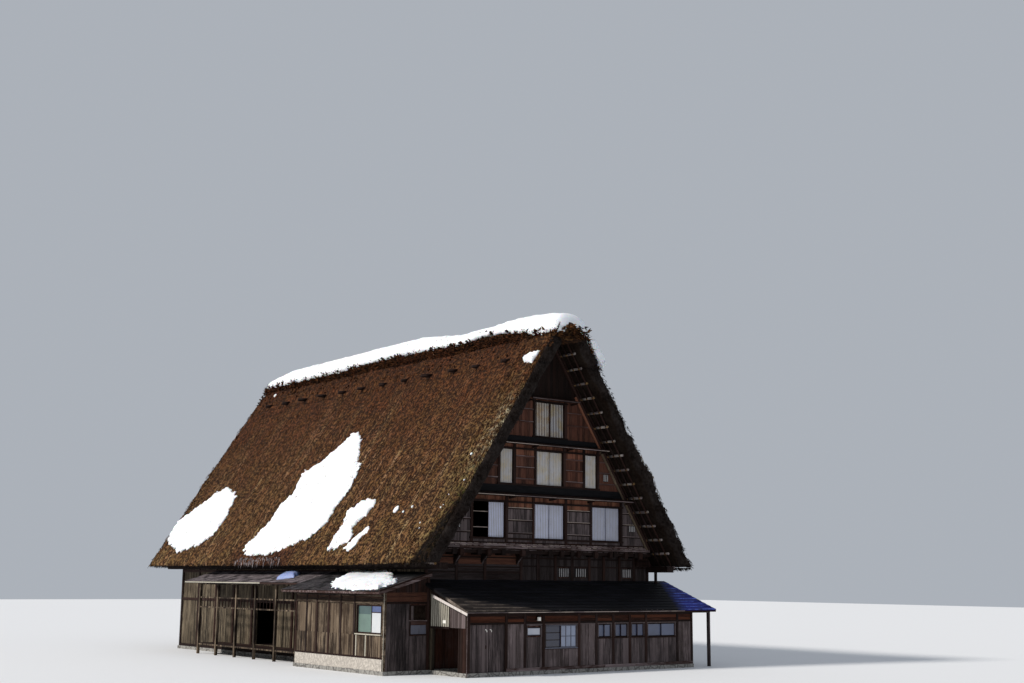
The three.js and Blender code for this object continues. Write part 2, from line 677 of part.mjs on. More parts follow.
// Corners of the snow on the wing's roof, in X and Y
const WING_SNOW = [[-8450, -380], [-7580, -440], [-6670, 1210], [-6270, 2390], [-6260, 3960], [-6450, 4540],
  [-6970, 4170], [-7310, 4270], [-8200, 2870], [-8420, 1200]];

// Laid flat, then sheared so that it follows the roof's slope
function wingSnow() {
  const made = prism("z", GAP, WING_SNOW_DEPTH, WING_SNOW.map(([x, y]) => [x - WING_ROOF.eaveX, y]));
  made.applyMatrix4(new THREE.Matrix4().set(1, 0, 0, WING_ROOF.eaveX, 0, 1, 0, 0,
    WING_ROOF.rise, 0, 1, WING_ROOF.eaveZ, 0, 0, 0, 1));
  return snapped(made);
}

function wingRoof() {
  const { eaveX, front, step, back, depth } = WING_ROOF;
  const strip = (x0, y0, y1) =>
    prism("y", y0, y1, [
      [x0, wingRoofTopAt(x0) - depth],
      [-HALF_WIDTH, wingRoofTopAt(-HALF_WIDTH) - depth],
      [-HALF_WIDTH, wingRoofTopAt(-HALF_WIDTH)],
      [x0, wingRoofTopAt(x0)],
    ]);
  return joined(strip(eaveX, FRONT_FACE, step), strip(VERANDA_ROOF_X, step - 50, back), wingRoofFront(front));
}

// The roof's front strip stops short of the annex wall.
function wingRoofFront(front) {
  const { eaveX, depth } = WING_ROOF;
  const x1 = ANNEX_ROOF.left - MARGIN;
  return prism("y", front, FRONT_FACE + MARGIN, [
    [eaveX, wingRoofTopAt(eaveX) - depth],
    [x1, wingRoofTopAt(x1) - depth],
    [x1, wingRoofTopAt(x1)],
    [eaveX, wingRoofTopAt(eaveX)],
  ]);
}

function underWingRoof(x) {
  return wingRoofTopAt(x) - WING_ROOF.depth - GAP;
}

function wingFrontWall() {
  const left = [[WING_X, underWingRoof(WING_X)], [WING_X, FOOTING_TOP]];
  const step = ANNEX_ROOF.left - 1;
  const right = [[ANNEX_LEFT, FOOTING_TOP], [ANNEX_LEFT, underAnnexRoof(WING_FRONT)],
    [step, underAnnexRoof(WING_FRONT)], [step, underWingRoof(step)]];
  const { left: x0, right: x1, sill, head } = VENT;
  return prism("y", WING_FRONT, WING_FRONT + THIN_WALL, [...left, ...right], [rect(x0, sill, x1, head)]);
}

function wingBackWall() {
  const outline = [[WING_X, FOOTING_TOP], [-HALF_WIDTH, FOOTING_TOP], [-HALF_WIDTH, underWingRoof(-HALF_WIDTH)],
    [WING_X, underWingRoof(WING_X)]];
  return prism("y", WING_BACK - THIN_WALL, WING_BACK, outline);
}

function wingLongWall() {
  const top = underWingRoof(WING_X);
  const { from, to, sill, head } = WING_WINDOW;
  return prism("x", WING_X, WING_X + THIN_WALL,
    rect(WING_FRONT + THIN_WALL, FOOTING_TOP, WING_BACK - THIN_WALL, top), [rect(from, sill, to, head)]);
}

function wingWindow() {
  const { from, to, sill, head } = WING_WINDOW;
  return framedRow([[-to, sill, -from, head]], THIN_WALL);
}

function vent() {
  const { left, right, sill, middle, head, bar } = VENT;
  const { proud, inset, sheet, lap } = GLAZING;
  return joined(
    prism("y", -proud, THIN_WALL - FRAME_INSET, rect(left, sill, right, head), [
      rect(left + bar, sill + bar, right - bar, middle),
      rect(left + bar, middle + bar, right - bar, head - bar),
    ]),
    box(left + lap, right - lap, inset, inset + sheet, sill + lap, head - lap),
  );
}

function veranda() {
  const { x, post, first, posts, rail, upperRail, railHeight, railInset, headBeam, floor, deck, deckInset,
    lap } = VERANDA;
  const last = first + (posts - 1) * KEN;
  const top = underWingRoof(x - lap);
  const placed = Array.from({ length: posts }, (_, i) =>
    box(x, x + post, first + i * KEN, first + i * KEN + post, 0, top - railHeight));
  const along = (z0, z1, inset) => box(x + inset, x + post - inset, first + inset, last + post - inset, z0, z1);
  const boards = box(x + deckInset, -HALF_WIDTH, first, last + post, floor - deck, floor);
  return joined(...placed, along(top - headBeam, top, -lap), along(upperRail, upperRail + railHeight, railInset),
    along(rail, rail + railHeight, railInset), boards);
}

function wing() {
  const windowPiece = piece("wing_window", wingWindow(), glazing);
  windowPiece.rotation.z = -Math.PI / 2;
  windowPiece.position.x = WING_X;
  const ventPiece = piece("wing_vent", vent(), screens);
  ventPiece.position.y = WING_FRONT;
  return group(
    piece("wing_roof", wingRoof(), roofing),
    piece("wing_snow", wingSnow(), snow),
    piece("wing_front_wall", wingFrontWall(), boards),
    piece("wing_long_wall", wingLongWall(), boards),
    piece("wing_back_wall", wingBackWall(), boards),
    piece("veranda", veranda(), timber),
    windowPiece,
    ventPiece,
  );
}

// Windows of the unseen sides, in walls that face right and back
function lowWindows(name, spans, depth) {
  return piece(name, framedRow(spans.map(([a, b]) => [a, LOW_WINDOW.sill, b, LOW_WINDOW.head]), depth), glazing);
}

function shell() {
  const rightWindows = lowWindows("right_windows", RIGHT_WINDOWS, WALL);
  rightWindows.rotation.z = Math.PI / 2;
  rightWindows.position.x = HALF_WIDTH;
  const backWindows = lowWindows("back_low_windows", BACK_WINDOWS, WALL);
  backWindows.rotation.z = Math.PI;
  backWindows.position.y = BACK_FACE;
  return group(
    piece("foundation", foundation(), stone),
    piece("ground_floor", groundFloorWithBearers(), timber),
    piece("front_wall", frontWall(), boards),
    piece("back_wall", backWall(), boards),
    piece("left_wall", leftWall(), boards),
    piece("right_wall", rightWall(), boards),
    rightWindows,
    backWindows,
    piece("eave_beam_left", eaveBeam(-1), timber),
    piece("eave_beam_right", rightEaveBeam(), timber),
    ...ATTIC_FLOORS.map((_, level) => piece(`attic_floor_${level + 1}`, atticFloor(level), timber)),
  );
}

function roof() {
  const frames = frameYs().map((y, i) => {
    const frame = piece(`rafter_frame_${i + 1}`, rafterFrame(), timber);
    frame.position.y = y;
    return frame;
  });
  const patches = Object.entries(SNOW_PATCHES).map(([name, corners]) => piece(name, snowPatch(corners), snow));
  return group(
    ...frames,
    slopeGroup(-1, piece("roof_lattice_left", lattice(-1), timber), ...patches),
    slopeGroup(1, piece("roof_lattice_right", lattice(1), timber)),
    piece("thatch_left", thatchSlope(-1), thatch),
    piece("thatch_right", thatchSlope(1), thatch),
    piece("ridge_cap", ridgeCap(), thatch),
    piece("ridge_snow", ridgeSnow(), snow),
  );
}

export default group(shell(), gable(1), gable(-1), roof(), annex(), wing());
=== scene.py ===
"""Finish of a steep thatched farmhouse: reed, weathered boards, paper screens and snow. Metres, +Z up."""

import math

import bmesh
import bpy
import numpy as np
from mathutils import Matrix, Vector, noise


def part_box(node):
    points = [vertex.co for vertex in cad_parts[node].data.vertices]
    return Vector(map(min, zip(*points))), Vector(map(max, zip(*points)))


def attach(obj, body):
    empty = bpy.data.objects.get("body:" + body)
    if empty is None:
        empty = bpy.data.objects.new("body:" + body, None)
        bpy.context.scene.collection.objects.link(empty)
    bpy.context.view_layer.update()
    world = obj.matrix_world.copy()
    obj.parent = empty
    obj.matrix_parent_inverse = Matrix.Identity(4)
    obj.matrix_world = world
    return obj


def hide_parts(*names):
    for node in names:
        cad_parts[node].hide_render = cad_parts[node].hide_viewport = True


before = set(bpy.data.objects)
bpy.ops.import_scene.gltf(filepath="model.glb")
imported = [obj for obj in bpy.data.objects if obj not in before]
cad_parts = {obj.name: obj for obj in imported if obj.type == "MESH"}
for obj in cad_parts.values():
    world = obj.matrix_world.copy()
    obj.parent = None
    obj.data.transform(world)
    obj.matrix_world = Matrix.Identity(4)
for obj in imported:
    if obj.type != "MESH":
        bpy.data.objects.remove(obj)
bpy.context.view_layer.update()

bl_info = {
    "name": "Thatched farmhouse",
    "version": (1, 0, 0),
    "blender": (4, 5, 0),
    "location": "View3D > Sidebar > Farmhouse",
    "description": "Builds the visible finish of a steep thatched farmhouse over its packed frame",
    "category": "Object",
}

HOUSE = "house"
SEED = 7
RNG = np.random.default_rng(SEED)

# Places taken from the frame
GABLE_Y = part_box("front_gable_wall")[0].y
BACK_GABLE_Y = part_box("back_gable_wall")[1].y
FRONT_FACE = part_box("front_wall")[0].y
VERGE_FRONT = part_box("thatch_left")[0].y
VERGE_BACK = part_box("thatch_left")[1].y
SLAB_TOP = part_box("thatch_left")[1].z
LATTICE_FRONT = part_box("roof_lattice_left")[0].y
LATTICE_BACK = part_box("roof_lattice_left")[1].y
ANNEX_LOW, ANNEX_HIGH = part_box("annex_roof")
ANNEX_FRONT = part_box("annex_front_wall")[0].y
WING_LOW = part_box("wing_roof")[0]
WING_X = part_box("wing_long_wall")[0].x
CAP_LOW, CAP_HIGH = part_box("ridge_cap")

# Roof form
APEX_Z = 14.95
EAVE_X = 7.2
EAVE_Z = 4.04
THATCH = 0.62
PITCH = math.atan((APEX_Z - EAVE_Z) / EAVE_X)
SIN, COS = math.sin(PITCH), math.cos(PITCH)
PURLINS = 17
PURLIN_FIRST = 1.335
PURLIN_STEP = 0.7

# Where meltwater has frosted the eave, along the ridge
FROST = (9.2, 13.4)

# Thickness of the wall boards and the gap between two of them
BOARD = 0.022
BOARD_GAP = 0.004

# Annex and wing: bay, left end, bays with a post, depth of the roof, heights of the front's parts, rise of
# the wing's roof, gap between its boards and its roof, its ends, and the veranda roof's eave and far end
HALF_KEN = 0.91
ANNEX_LEFT = -5.96
ANNEX_BAYS = (0, 2, 3, 4, 6, 7, 8, 9, 10, 12, 13)
ANNEX_DEPTH = 0.09
WALL_FOOT = 0.15
WALL_SPAN = (WALL_FOOT, 3.9)
ANNEX_SILL = 0.27
TRANSOM = (1.885, 1.955)
WING_RISE = 0.295
WING_GAP = 0.1
WING_FRONT_Y = -0.8
WING_END_Y = 6.45
VERANDA_X = -7.62
VERANDA_END_Y = 17.4

GABLES = {
    "front": Matrix.Translation((0, GABLE_Y, 0)),
    "back": Matrix.Translation((0, BACK_GABLE_Y, 0)) @ Matrix.Rotation(math.pi, 4, "Z"),
}

# Attic storeys: foot, head, top of the dark beam at the foot, window sill and head, centres and widths of
# the windows, and heights of the battens
STOREYS = (
    {"foot": 4.86, "head": 6.93, "beam": 5.02, "sill": 5.19, "top": 6.6,
     "windows": ((-3.16, 1.64), (0, 1.64), (3.16, 1.64)), "battens": (6.38, 5.89, 5.38)},
    {"foot": 7.01, "head": 9.06, "beam": 7.3, "sill": 7.38, "top": 8.78,
     "windows": ((-2.29, 0.68), (0, 1.46), (2.29, 0.68)), "battens": (8.51, 8.05, 7.58)},
    {"foot": 9.13, "head": 10.99, "beam": 9.34, "sill": 9.4, "top": 10.82,
     "windows": ((0, 1.6),), "battens": (10.47, 9.95)},
    {"foot": 11.07, "head": 13.2, "beam": 11.07, "sill": 12.0, "top": 12.0, "windows": (), "battens": ()},
)
WING_WINDOW = {"from": -0.23, "to": 1.48, "sill": 1.48, "head": 2.56, "split": 0.46}

# Places of what stands along the ridge
ROLL = {"base": 13.42, "half": 0.86, "low": 0.16}
RODS = {"count": 12, "first": 0.54, "run": 20.2, "height": 12.54}
STANDING_KNOTS = (15.24, 11.45, 7.23, 5.59, 4.9, 4.38, 3.14, 1.65, -0.57)

# Joist ends and small vents of a gable, and windows under the eaves. A vent has its middle, its size and its
# slats. An annex window has its two bays, its sill and its head
JOIST_XS = (-4.56, -3.21, -1.46, 0.61, 1.54, 2.51, 3.34, 4.25, 5.12)
GABLE_VENTS = ((4.68, 5.74, 0.36, 0.28, 4), (3.15, 7.86, 0.3, 0.32, 3), (-4.63, 5.65, 0.09, 0.26, 1))
ANNEX_WINDOWS = ((3, 4, 1.44, 1.76), (4, 6, 0.97, 1.83), (7, 8, 1.32, 1.84), (8, 9, 1.32, 1.84),
                 (9, 10, 1.32, 1.84), (10, 12, 1.3, 1.84))
RIGHT_WINDOWS = tuple((y, y + 1.82) for y in (2.0, 6.5, 11.0, 15.5))
BACK_WINDOWS = ((-4.0, -2.18), (-0.91, 0.91), (2.18, 4.0))

# Corners of the snow patches on the left slope: place along the ridge and height
SLOPE_SNOW = {
    "roof_snow_large": ((9.16, 10.08), (8.53, 9.43), (8.01, 8.89), (7.26, 8.14), (7.12, 7.49), (7.25, 6.7),
                        (7.23, 5.92), (7.85, 5.31), (8.87, 5.02), (10.07, 4.72), (11.24, 4.5), (12.83, 4.55),
                        (13.22, 4.96), (12.55, 5.94), (12.38, 6.86), (11.9, 7.47), (12.18, 8.3),
                        (10.6, 9.15), (9.85, 10.01)),
    "roof_snow_small": ((5.31, 6.82), (4.56, 6.82), (4.22, 6.69), (4.32, 6.1), (4.91, 5.51), (4.52, 5.13),
                        (4.87, 4.92), (5.78, 4.67), (5.88, 5.01), (5.72, 5.8), (6.04, 6.3), (5.54, 6.52)),
    "roof_snow_far": ((19.22, 7.96), (17.85, 7.46), (17.64, 6.78), (17.32, 6.4), (17.6, 5.5), (18.6, 5.1),
                      (19.9, 4.75), (21.2, 5.0), (22.4, 5.4), (22.5, 6.3), (21.6, 6.9), (20.58, 7.45),
                      (19.72, 7.88)),
}

# Holes melted in the large patch: place, height and radius
MELTED = ((9.0, 5.75, 0.06), (10.3, 5.15, 0.07), (11.4, 4.98, 0.06), (8.2, 6.35, 0.05), (12.3, 5.25, 0.05))

# Smaller scraps of snow on the slopes
SNOW_STRIP = ((3.65, 5.67), (3.49, 5.33), (3.81, 5.19), (3.89, 4.72), (4.14, 4.58), (4.59, 4.73),
              (4.1, 5.27))
VERGE_SCRAP = ((-1.49, 12.75), (-1.14, 12.71), (-0.69, 12.5), (-0.97, 12.25), (-1.42, 12.27))
RIGHT_SCRAP = ((-1.82, 13.42), (-1.35, 13.44), (-1.1, 13.05), (-1.25, 12.72), (-1.45, 12.42),
               (-1.82, 12.36))

# Crumbs of snow: place, height and radius
CRUMBS = ((2.37, 6.27, 0.14), (-0.75, 8.39, 0.05), (0.08, 5.66, 0.03), (-0.1, 5.44, 0.035),
          (-0.73, 6.24, 0.035), (21.19, 13.22, 0.1), (-0.81, 6.34, 0.025), (-1.27, 7.3, 0.03),
          (-0.78, 6.75, 0.02), (1.29, 6.33, 0.05), (1.73, 6.15, 0.05))

# Corners of the snow on the wing and the veranda: X and Y
WING_SNOW = ((-8.45, -0.38), (-7.58, -0.44), (-6.67, 1.21), (-6.27, 2.39), (-6.26, 3.96), (-6.45, 4.54),
             (-6.97, 4.17), (-7.31, 4.27), (-8.2, 2.87), (-8.42, 1.2))
VERANDA_SNOW = ((-7.32, 9.05), (-7.0, 8.15), (-6.45, 8.55), (-6.42, 9.15), (-6.85, 9.35))

# Height of the ridge snow's crest and of its lower edge, by place along the ridge
SNOW_CREST = ((-1.9, 14.42), (-1.55, 14.5), (-0.65, 14.61), (1.2, 14.71), (3.2, 14.64), (5.2, 14.51),
              (8.6, 14.84), (10.9, 14.84), (13.4, 14.76), (20.4, 14.67), (22.9, 14.3))
SNOW_EDGE = ((-1.9, 13.62), (-0.5, 13.62), (0.5, 13.87), (1.4, 14.00), (3.4, 14.25), (4.4, 13.92),
             (6.6, 13.99), (11.2, 14.06), (13.8, 13.93), (15, 13.84), (22.9, 13.78))


def length_prop(name, description, default):
    return bpy.props.FloatProperty(name=name, description=description, default=default, unit="LENGTH")


def colour_prop(name, description, default):
    return bpy.props.FloatVectorProperty(
        name=name, description=description, default=default, subtype="COLOR", size=3)


class FarmhouseSizes(bpy.types.PropertyGroup):
    """Sizes of the finish that a user would change."""

    reed_length: length_prop("Reed length", "Length of the loose reeds on the slopes", 0.15)
    reed_density: bpy.props.FloatProperty(
        name="Reeds per square metre", description="How many loose reeds show on a slope", default=190.0)
    board_width: length_prop("Board width", "Width of the upright wall boards", 0.15)
    post_width: length_prop("Post width", "Width of the posts between the boards", 0.12)
    screen_bar_step: length_prop("Screen bar spacing", "From bar to bar on the paper screens", 0.088)
    course_step: length_prop("Roof course", "Height of one course of the annex roofing", 0.3)
    snow_depth: length_prop("Snow depth", "Thickness of the snow left on the slope", 0.11)


class FarmhouseColours(bpy.types.PropertyGroup):
    """Main colours of the finish."""

    reed: colour_prop("Reed", "Sunlit reed", (0.27, 0.16, 0.066))
    reed_dark: colour_prop("Old reed", "Weathered reed", (0.138, 0.052, 0.019))
    moss: colour_prop("Moss", "Moss near the verge", (0.175, 0.13, 0.055))
    timber: colour_prop("Timber", "Dark red-brown timber", (0.072, 0.027, 0.017))
    grey_wood: colour_prop("Grey wood", "Wood bleached by weather", (0.105, 0.082, 0.082))
    paper: colour_prop("Paper", "Window screens", (0.42, 0.44, 0.55))
    snow: colour_prop("Snow", "Snow on the roofs", (0.9, 0.93, 0.97))
    roofing: colour_prop("Roofing", "Dark roofing of the annex", (0.007, 0.007, 0.01))


def sizes():
    return bpy.context.scene.farmhouse_sizes


def colours():
    return bpy.context.scene.farmhouse_colours


# Solids and pieces


class Stock:
    """Gathers the closed solids of one piece, each with its finish number and tint."""

    def __init__(self):
        self.verts = []
        self.faces = []
        self.finish = []
        self.tint = []

    def solid(self, verts, faces, finish=0, tint=None):
        first = len(self.verts)
        shade = RNG.random() if tint is None else tint
        self.verts.extend(tuple(v) for v in verts)
        self.faces.extend(tuple(first + i for i in face) for face in faces)
        self.finish.extend([finish] * len(faces))
        self.tint.extend([shade] * len(faces))

    def box(self, x, y, z, finish=0, tint=None):
        corners = [(x[i], y[j], z[k]) for k in (0, 1) for j in (0, 1) for i in (0, 1)]
        faces = ((0, 2, 3, 1), (4, 5, 7, 6), (0, 1, 5, 4), (2, 6, 7, 3), (0, 4, 6, 2), (1, 3, 7, 5))
        self.solid(corners, faces, finish, tint)

    def boxes(self, *rows):
        """Several boxes, each given as for box."""
        for row in rows:
            self.box(*row)

    def frame(self, x, z, bars, depths, finishes):
        """Two upright and two level bars around an opening; each pair has the upright ones first."""
        for span in ((x[0], x[0] + bars[0]), (x[1] - bars[0], x[1])):
            self.box(span, depths[0], z, finishes[0])
        for span in ((z[0], z[0] + bars[1]), (z[1] - bars[1], z[1])):
            self.box(x, depths[1], span, finishes[1])

    def prism(self, outline, axis, span, finish=0):
        """An outline of the other two axes, in their order, extruded along one axis."""
        def corner(u, v, w):
            return {"x": (w, u, v), "y": (u, w, v), "z": (u, v, w)}[axis]

        count = len(outline)
        verts = [corner(u, v, w) for w in span for u, v in outline]
        sides = [(i, (i + 1) % count, count + (i + 1) % count, count + i) for i in range(count)]
        self.solid(verts, [tuple(range(count)), tuple(range(2 * count - 1, count - 1, -1)), *sides], finish)

    def pole(self, start, end, radius, sides=8, finish=0, end_radius=None):
        a, b = Vector(start), Vector(end)
        turn = (b - a).to_track_quat("Z", "Y")
        ring = []
        for place, size in ((a, radius), (b, radius if end_radius is None else end_radius)):
            for i in range(sides):
                angle = 2 * math.pi * i / sides
                ring.append(place + turn @ Vector((math.cos(angle) * size, math.sin(angle) * size, 0)))
        walls = [(i, (i + 1) % sides, sides + (i + 1) % sides, sides + i) for i in range(sides)]
        self.solid(ring, [tuple(range(sides)), tuple(range(2 * sides - 1, sides - 1, -1)), *walls], finish)

    def bar(self, start, end, width, depth, finish=0, up=(0, 0, 1)):
        """A square bar between two points; its depth is measured along up."""
        a, b, along = Vector(start), Vector(end), (Vector(end) - Vector(start)).normalized()
        side = along.cross(Vector(up)).normalized() * (width / 2)
        lift = side.normalized().cross(along) * (depth / 2)
        verts = [p + side * i + lift * j for p in (a, b) for i, j in ((-1, -1), (1, -1), (1, 1), (-1, 1))]
        walls = [(i, (i + 1) % 4, 4 + (i + 1) % 4, 4 + i) for i in range(4)]
        self.solid(verts, [(0, 1, 2, 3), (7, 6, 5, 4), *walls], finish)

    def mesh_of(self, mesh, finish=0):
        """Takes in a mesh that Geometry Nodes made, with its tint."""
        first = len(self.verts)
        self.verts.extend(tuple(v.co) for v in mesh.vertices)
        self.faces.extend(tuple(first + i for i in p.vertices) for p in mesh.polygons)
        self.finish.extend([finish] * len(mesh.polygons))
        tint = mesh.attributes.get("tint")
        if tint is None:
            self.tint.extend([0.5] * len(mesh.polygons))
        elif tint.domain == "POINT":
            self.tint.extend(tint.data[p.vertices[0]].value for p in mesh.polygons)
        else:
            self.tint.extend(tint.data[p.index].value for p in mesh.polygons)
        bpy.data.meshes.remove(mesh)


def as_mesh(name, stock, finishes, place=None, mend=True):
    """Mesh of a stock's faces, with its finishes in the order of their slots."""
    mesh = bpy.data.meshes.new(name)
    mesh.from_pydata(stock.verts, [], stock.faces)
    for finish in finishes:
        mesh.materials.append(FINISH[finish])
    mesh.polygons.foreach_set("material_index", stock.finish)
    mesh.attributes.new("tint", "FLOAT", "FACE").data.foreach_set("value", stock.tint)
    if place is not None:
        mesh.transform(place)
    if mend:
        shape = bmesh.new()
        shape.from_mesh(mesh)
        bmesh.ops.recalc_face_normals(shape, faces=shape.faces)
        shape.to_mesh(mesh)
        shape.free()
    mesh.update()
    return mesh


def new_object(name, data):
    obj = bpy.data.objects.new(name, data)
    bpy.context.scene.collection.objects.link(obj)
    return obj


def add_piece(name, mesh, slot, body=HOUSE, replaces=(), bevel=0.0, smooth=False):
    obj = new_object(name, mesh)
    if smooth:
        mesh.polygons.foreach_set("use_smooth", [True] * len(mesh.polygons))
    if bevel:
        soft = obj.modifiers.new("Worn edges", "BEVEL")
        soft.width, soft.segments, soft.limit_method = bevel, 1, "ANGLE"
    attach(obj, body)
    if replaces:
        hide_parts(*replaces)
    return obj


def stock_piece(name, stock, names, slot, place=None, mend=True, **settings):
    """Makes a piece of a stock, with its finishes by name."""
    return add_piece(name, as_mesh(name, stock, names, place, mend), slot, **settings)


def finish_node(name, material):
    """Gives a CAD node its finish."""
    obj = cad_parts[name]
    for i in range(len(obj.material_slots)):
        obj.material_slots[i].material = material
    if not obj.material_slots:
        obj.data.materials.append(material)


def half_width(z, depth=0.0):
    """Half the width of the roof's inside at a height, a depth square under the outer face."""
    return (APEX_Z - z) / math.tan(PITCH) - depth / SIN


def on_slope(side, s, depth, y):
    """A point s down a slope from the apex line, a depth square under its outer face."""
    return Vector((side * (s * COS - depth * SIN), y, APEX_Z - s * SIN - depth * COS))


def slope_s(z, depth=0.0):
    return (APEX_Z - z - depth * COS) / SIN


def about(middle, reach):
    """From a reach below a number to a reach above it."""
    return middle - reach, middle + reach


def mid(span):
    return (span[0] + span[1]) / 2


def at_place(table, y):
    """The height that a table of places along the ridge gives for a place."""
    return float(np.interp(y, *np.array(table).T))


def ripple(x, y, z):
    """Smooth noise at a point, from about -1 to 1."""
    return noise.noise(Vector((x, y, z)))


# Geometry Nodes


def enabled(sockets, name):
    return next(s for s in sockets if s.name == name and s.enabled)


def new_tree(name, inputs):
    tree = bpy.data.node_groups.new(name, "GeometryNodeTree")
    tree.interface.new_socket("Geometry", in_out="INPUT", socket_type="NodeSocketGeometry")
    for label, kind in inputs:
        tree.interface.new_socket(label, in_out="INPUT", socket_type="NodeSocket" + kind)
    tree.interface.new_socket("Geometry", in_out="OUTPUT", socket_type="NodeSocketGeometry")
    return tree, tree.nodes.new("NodeGroupInput"), tree.nodes.new("NodeGroupOutput")


def once(name):
    """Makes a node group the first time it is asked for, and finds it by its name after that."""
    return lambda build: lambda: bpy.data.node_groups.get(name) or build(name)


def feed(tree, socket, source):
    """Gives a socket a link or a value."""
    if isinstance(source, bpy.types.NodeSocket):
        tree.links.new(source, socket)
    else:
        socket.default_value = source


def add_node(tree, kind, links=(), **settings):
    """Adds a node; links pairs an input's name with a socket or a value."""
    made = tree.nodes.new(kind)
    for key, value in settings.items():
        setattr(made, key, value)
    for name, source in links:
        feed(tree, enabled(made.inputs, name), source)
    return made


def maths(tree, operation, *values, clamp=False, kind="Math"):
    made = add_node(tree, "ShaderNode" + kind, operation=operation)
    if clamp:
        made.use_clamp = True
    for socket, value in zip(made.inputs, values):
        feed(tree, socket, value)
    return made.outputs[0]


def times(tree, *values, clamp=False):
    return maths(tree, "MULTIPLY", *values, clamp=clamp)


def scaled(tree, vector, amount):
    made = add_node(tree, "ShaderNodeVectorMath", (("Vector", vector), ("Scale", amount)), operation="SCALE")
    return made.outputs[0]


def end_tree(tree, outlet, instances, tint):
    """Stores each instance's tint and realizes the instances."""
    stored = add_node(tree, "GeometryNodeStoreNamedAttribute",
                      (("Geometry", instances), ("Name", "tint"), ("Value", tint)),
                      data_type="FLOAT", domain="INSTANCE")
    real = add_node(tree, "GeometryNodeRealizeInstances", (("Geometry", stored.outputs[0]),))
    tree.links.new(real.outputs[0], outlet.inputs["Geometry"])


def random_value(tree, kind, low, high, seed):
    made = add_node(tree, "FunctionNodeRandomValue", (("Min", low), ("Max", high), ("Seed", seed)),
                    data_type=kind)
    return next(s for s in made.outputs if s.enabled)


@once("Plates in rows")
def plates_tree(name):
    """Plates of one size in columns and rows, such as boards, slats, bars and roof courses."""
    tree, inlet, outlet = new_tree(name, (
        ("Columns", "Int"), ("Rows", "Int"), ("Start", "Vector"), ("Column Step", "Vector"),
        ("Row Step", "Vector"), ("Plate Size", "Vector"), ("Turn", "Vector"), ("Jitter", "Vector"),
        ("Seed", "Int")))
    at = inlet.outputs
    row = add_node(tree, "GeometryNodeMeshLine", (("Count", at["Columns"]), ("Offset", at["Column Step"])),
                   mode="OFFSET")
    column = add_node(tree, "GeometryNodeMeshLine",
                      (("Count", at["Rows"]), ("Start Location", at["Start"]), ("Offset", at["Row Step"])),
                      mode="OFFSET")
    spread = add_node(tree, "GeometryNodeInstanceOnPoints", (("Points", column.outputs[0]),
                                                             ("Instance", row.outputs[0])))
    grid = add_node(tree, "GeometryNodeRealizeInstances", (("Geometry", spread.outputs[0]),))
    shift = random_value(tree, "FLOAT_VECTOR", scaled(tree, at["Jitter"], -1.0), at["Jitter"], at["Seed"])
    moved = add_node(tree, "GeometryNodeSetPosition", (("Geometry", grid.outputs[0]), ("Offset", shift)))
    plate = add_node(tree, "GeometryNodeMeshCube", (("Size", at["Plate Size"]),))
    placed = add_node(tree, "GeometryNodeInstanceOnPoints",
                      (("Points", moved.outputs[0]), ("Instance", plate.outputs[0]),
                       ("Rotation", at["Turn"])))
    tint = random_value(tree, "FLOAT", 0.0, 1.0, at["Seed"])
    end_tree(tree, outlet, placed.outputs[0], tint)
    return tree


@once("Loose reeds")
def reeds_tree(name):
    """Tapered reeds scattered over a surface, all lying about one way."""
    tree, inlet, outlet = new_tree(name, (("Density", "Float"), ("Length", "Float"), ("Thickness", "Float"),
                                          ("Lie", "Vector"), ("Lift", "Float"), ("Stray", "Float"),
                                          ("Seed", "Int")))
    at = inlet.outputs
    points = add_node(tree, "GeometryNodeDistributePointsOnFaces",
                      (("Mesh", at["Geometry"]), ("Density", at["Density"]), ("Seed", at["Seed"])))
    reed = add_node(tree, "GeometryNodeMeshCone",
                    (("Vertices", 3), ("Radius Top", 0.0), ("Radius Bottom", at["Thickness"]),
                     ("Depth", at["Length"])), fill_type="NGON")
    stray = scaled(tree, random_value(tree, "FLOAT_VECTOR", (-1, -1, -1), (1, 1, 1), at["Seed"]),
                   at["Stray"])
    aim = maths(tree, "ADD", stray, scaled(tree, points.outputs["Normal"], at["Lift"]), kind="VectorMath")
    way = maths(tree, "ADD", aim, at["Lie"], kind="VectorMath")
    turn = add_node(tree, "FunctionNodeAlignRotationToVector", (("Vector", way),), axis="Z")
    size = random_value(tree, "FLOAT_VECTOR", (0.7, 0.7, 0.5), (1.5, 1.5, 1.3), at["Seed"])
    placed = add_node(tree, "GeometryNodeInstanceOnPoints",
                      (("Points", points.outputs[0]), ("Instance", reed.outputs[0]),
                       ("Rotation", turn.outputs[0]), ("Scale", size)))
    tint = random_value(tree, "FLOAT", 0.0, 1.0, at["Seed"])
    end_tree(tree, outlet, placed.outputs[0], tint)
    return tree


def run_tree(tree, values, carrier=None):
    """Evaluates a tree on a throwaway object and returns the plain mesh it makes."""
    mesh = carrier or bpy.data.meshes.new("carrier")
    obj = new_object("carrier", mesh)
    modifier = obj.modifiers.new("Build", "NODES")
    modifier.node_group = tree
    for item in tree.interface.items_tree:
        if item.item_type == "SOCKET" and item.in_out == "INPUT" and item.name in values:
            modifier[item.identifier] = values[item.name]
    obj.update_tag()
    bpy.context.view_layer.update()
    depsgraph = bpy.context.evaluated_depsgraph_get()
    made = bpy.data.meshes.new_from_object(obj.evaluated_get(depsgraph))
    bpy.data.objects.remove(obj)
    bpy.data.meshes.remove(mesh)
    return made


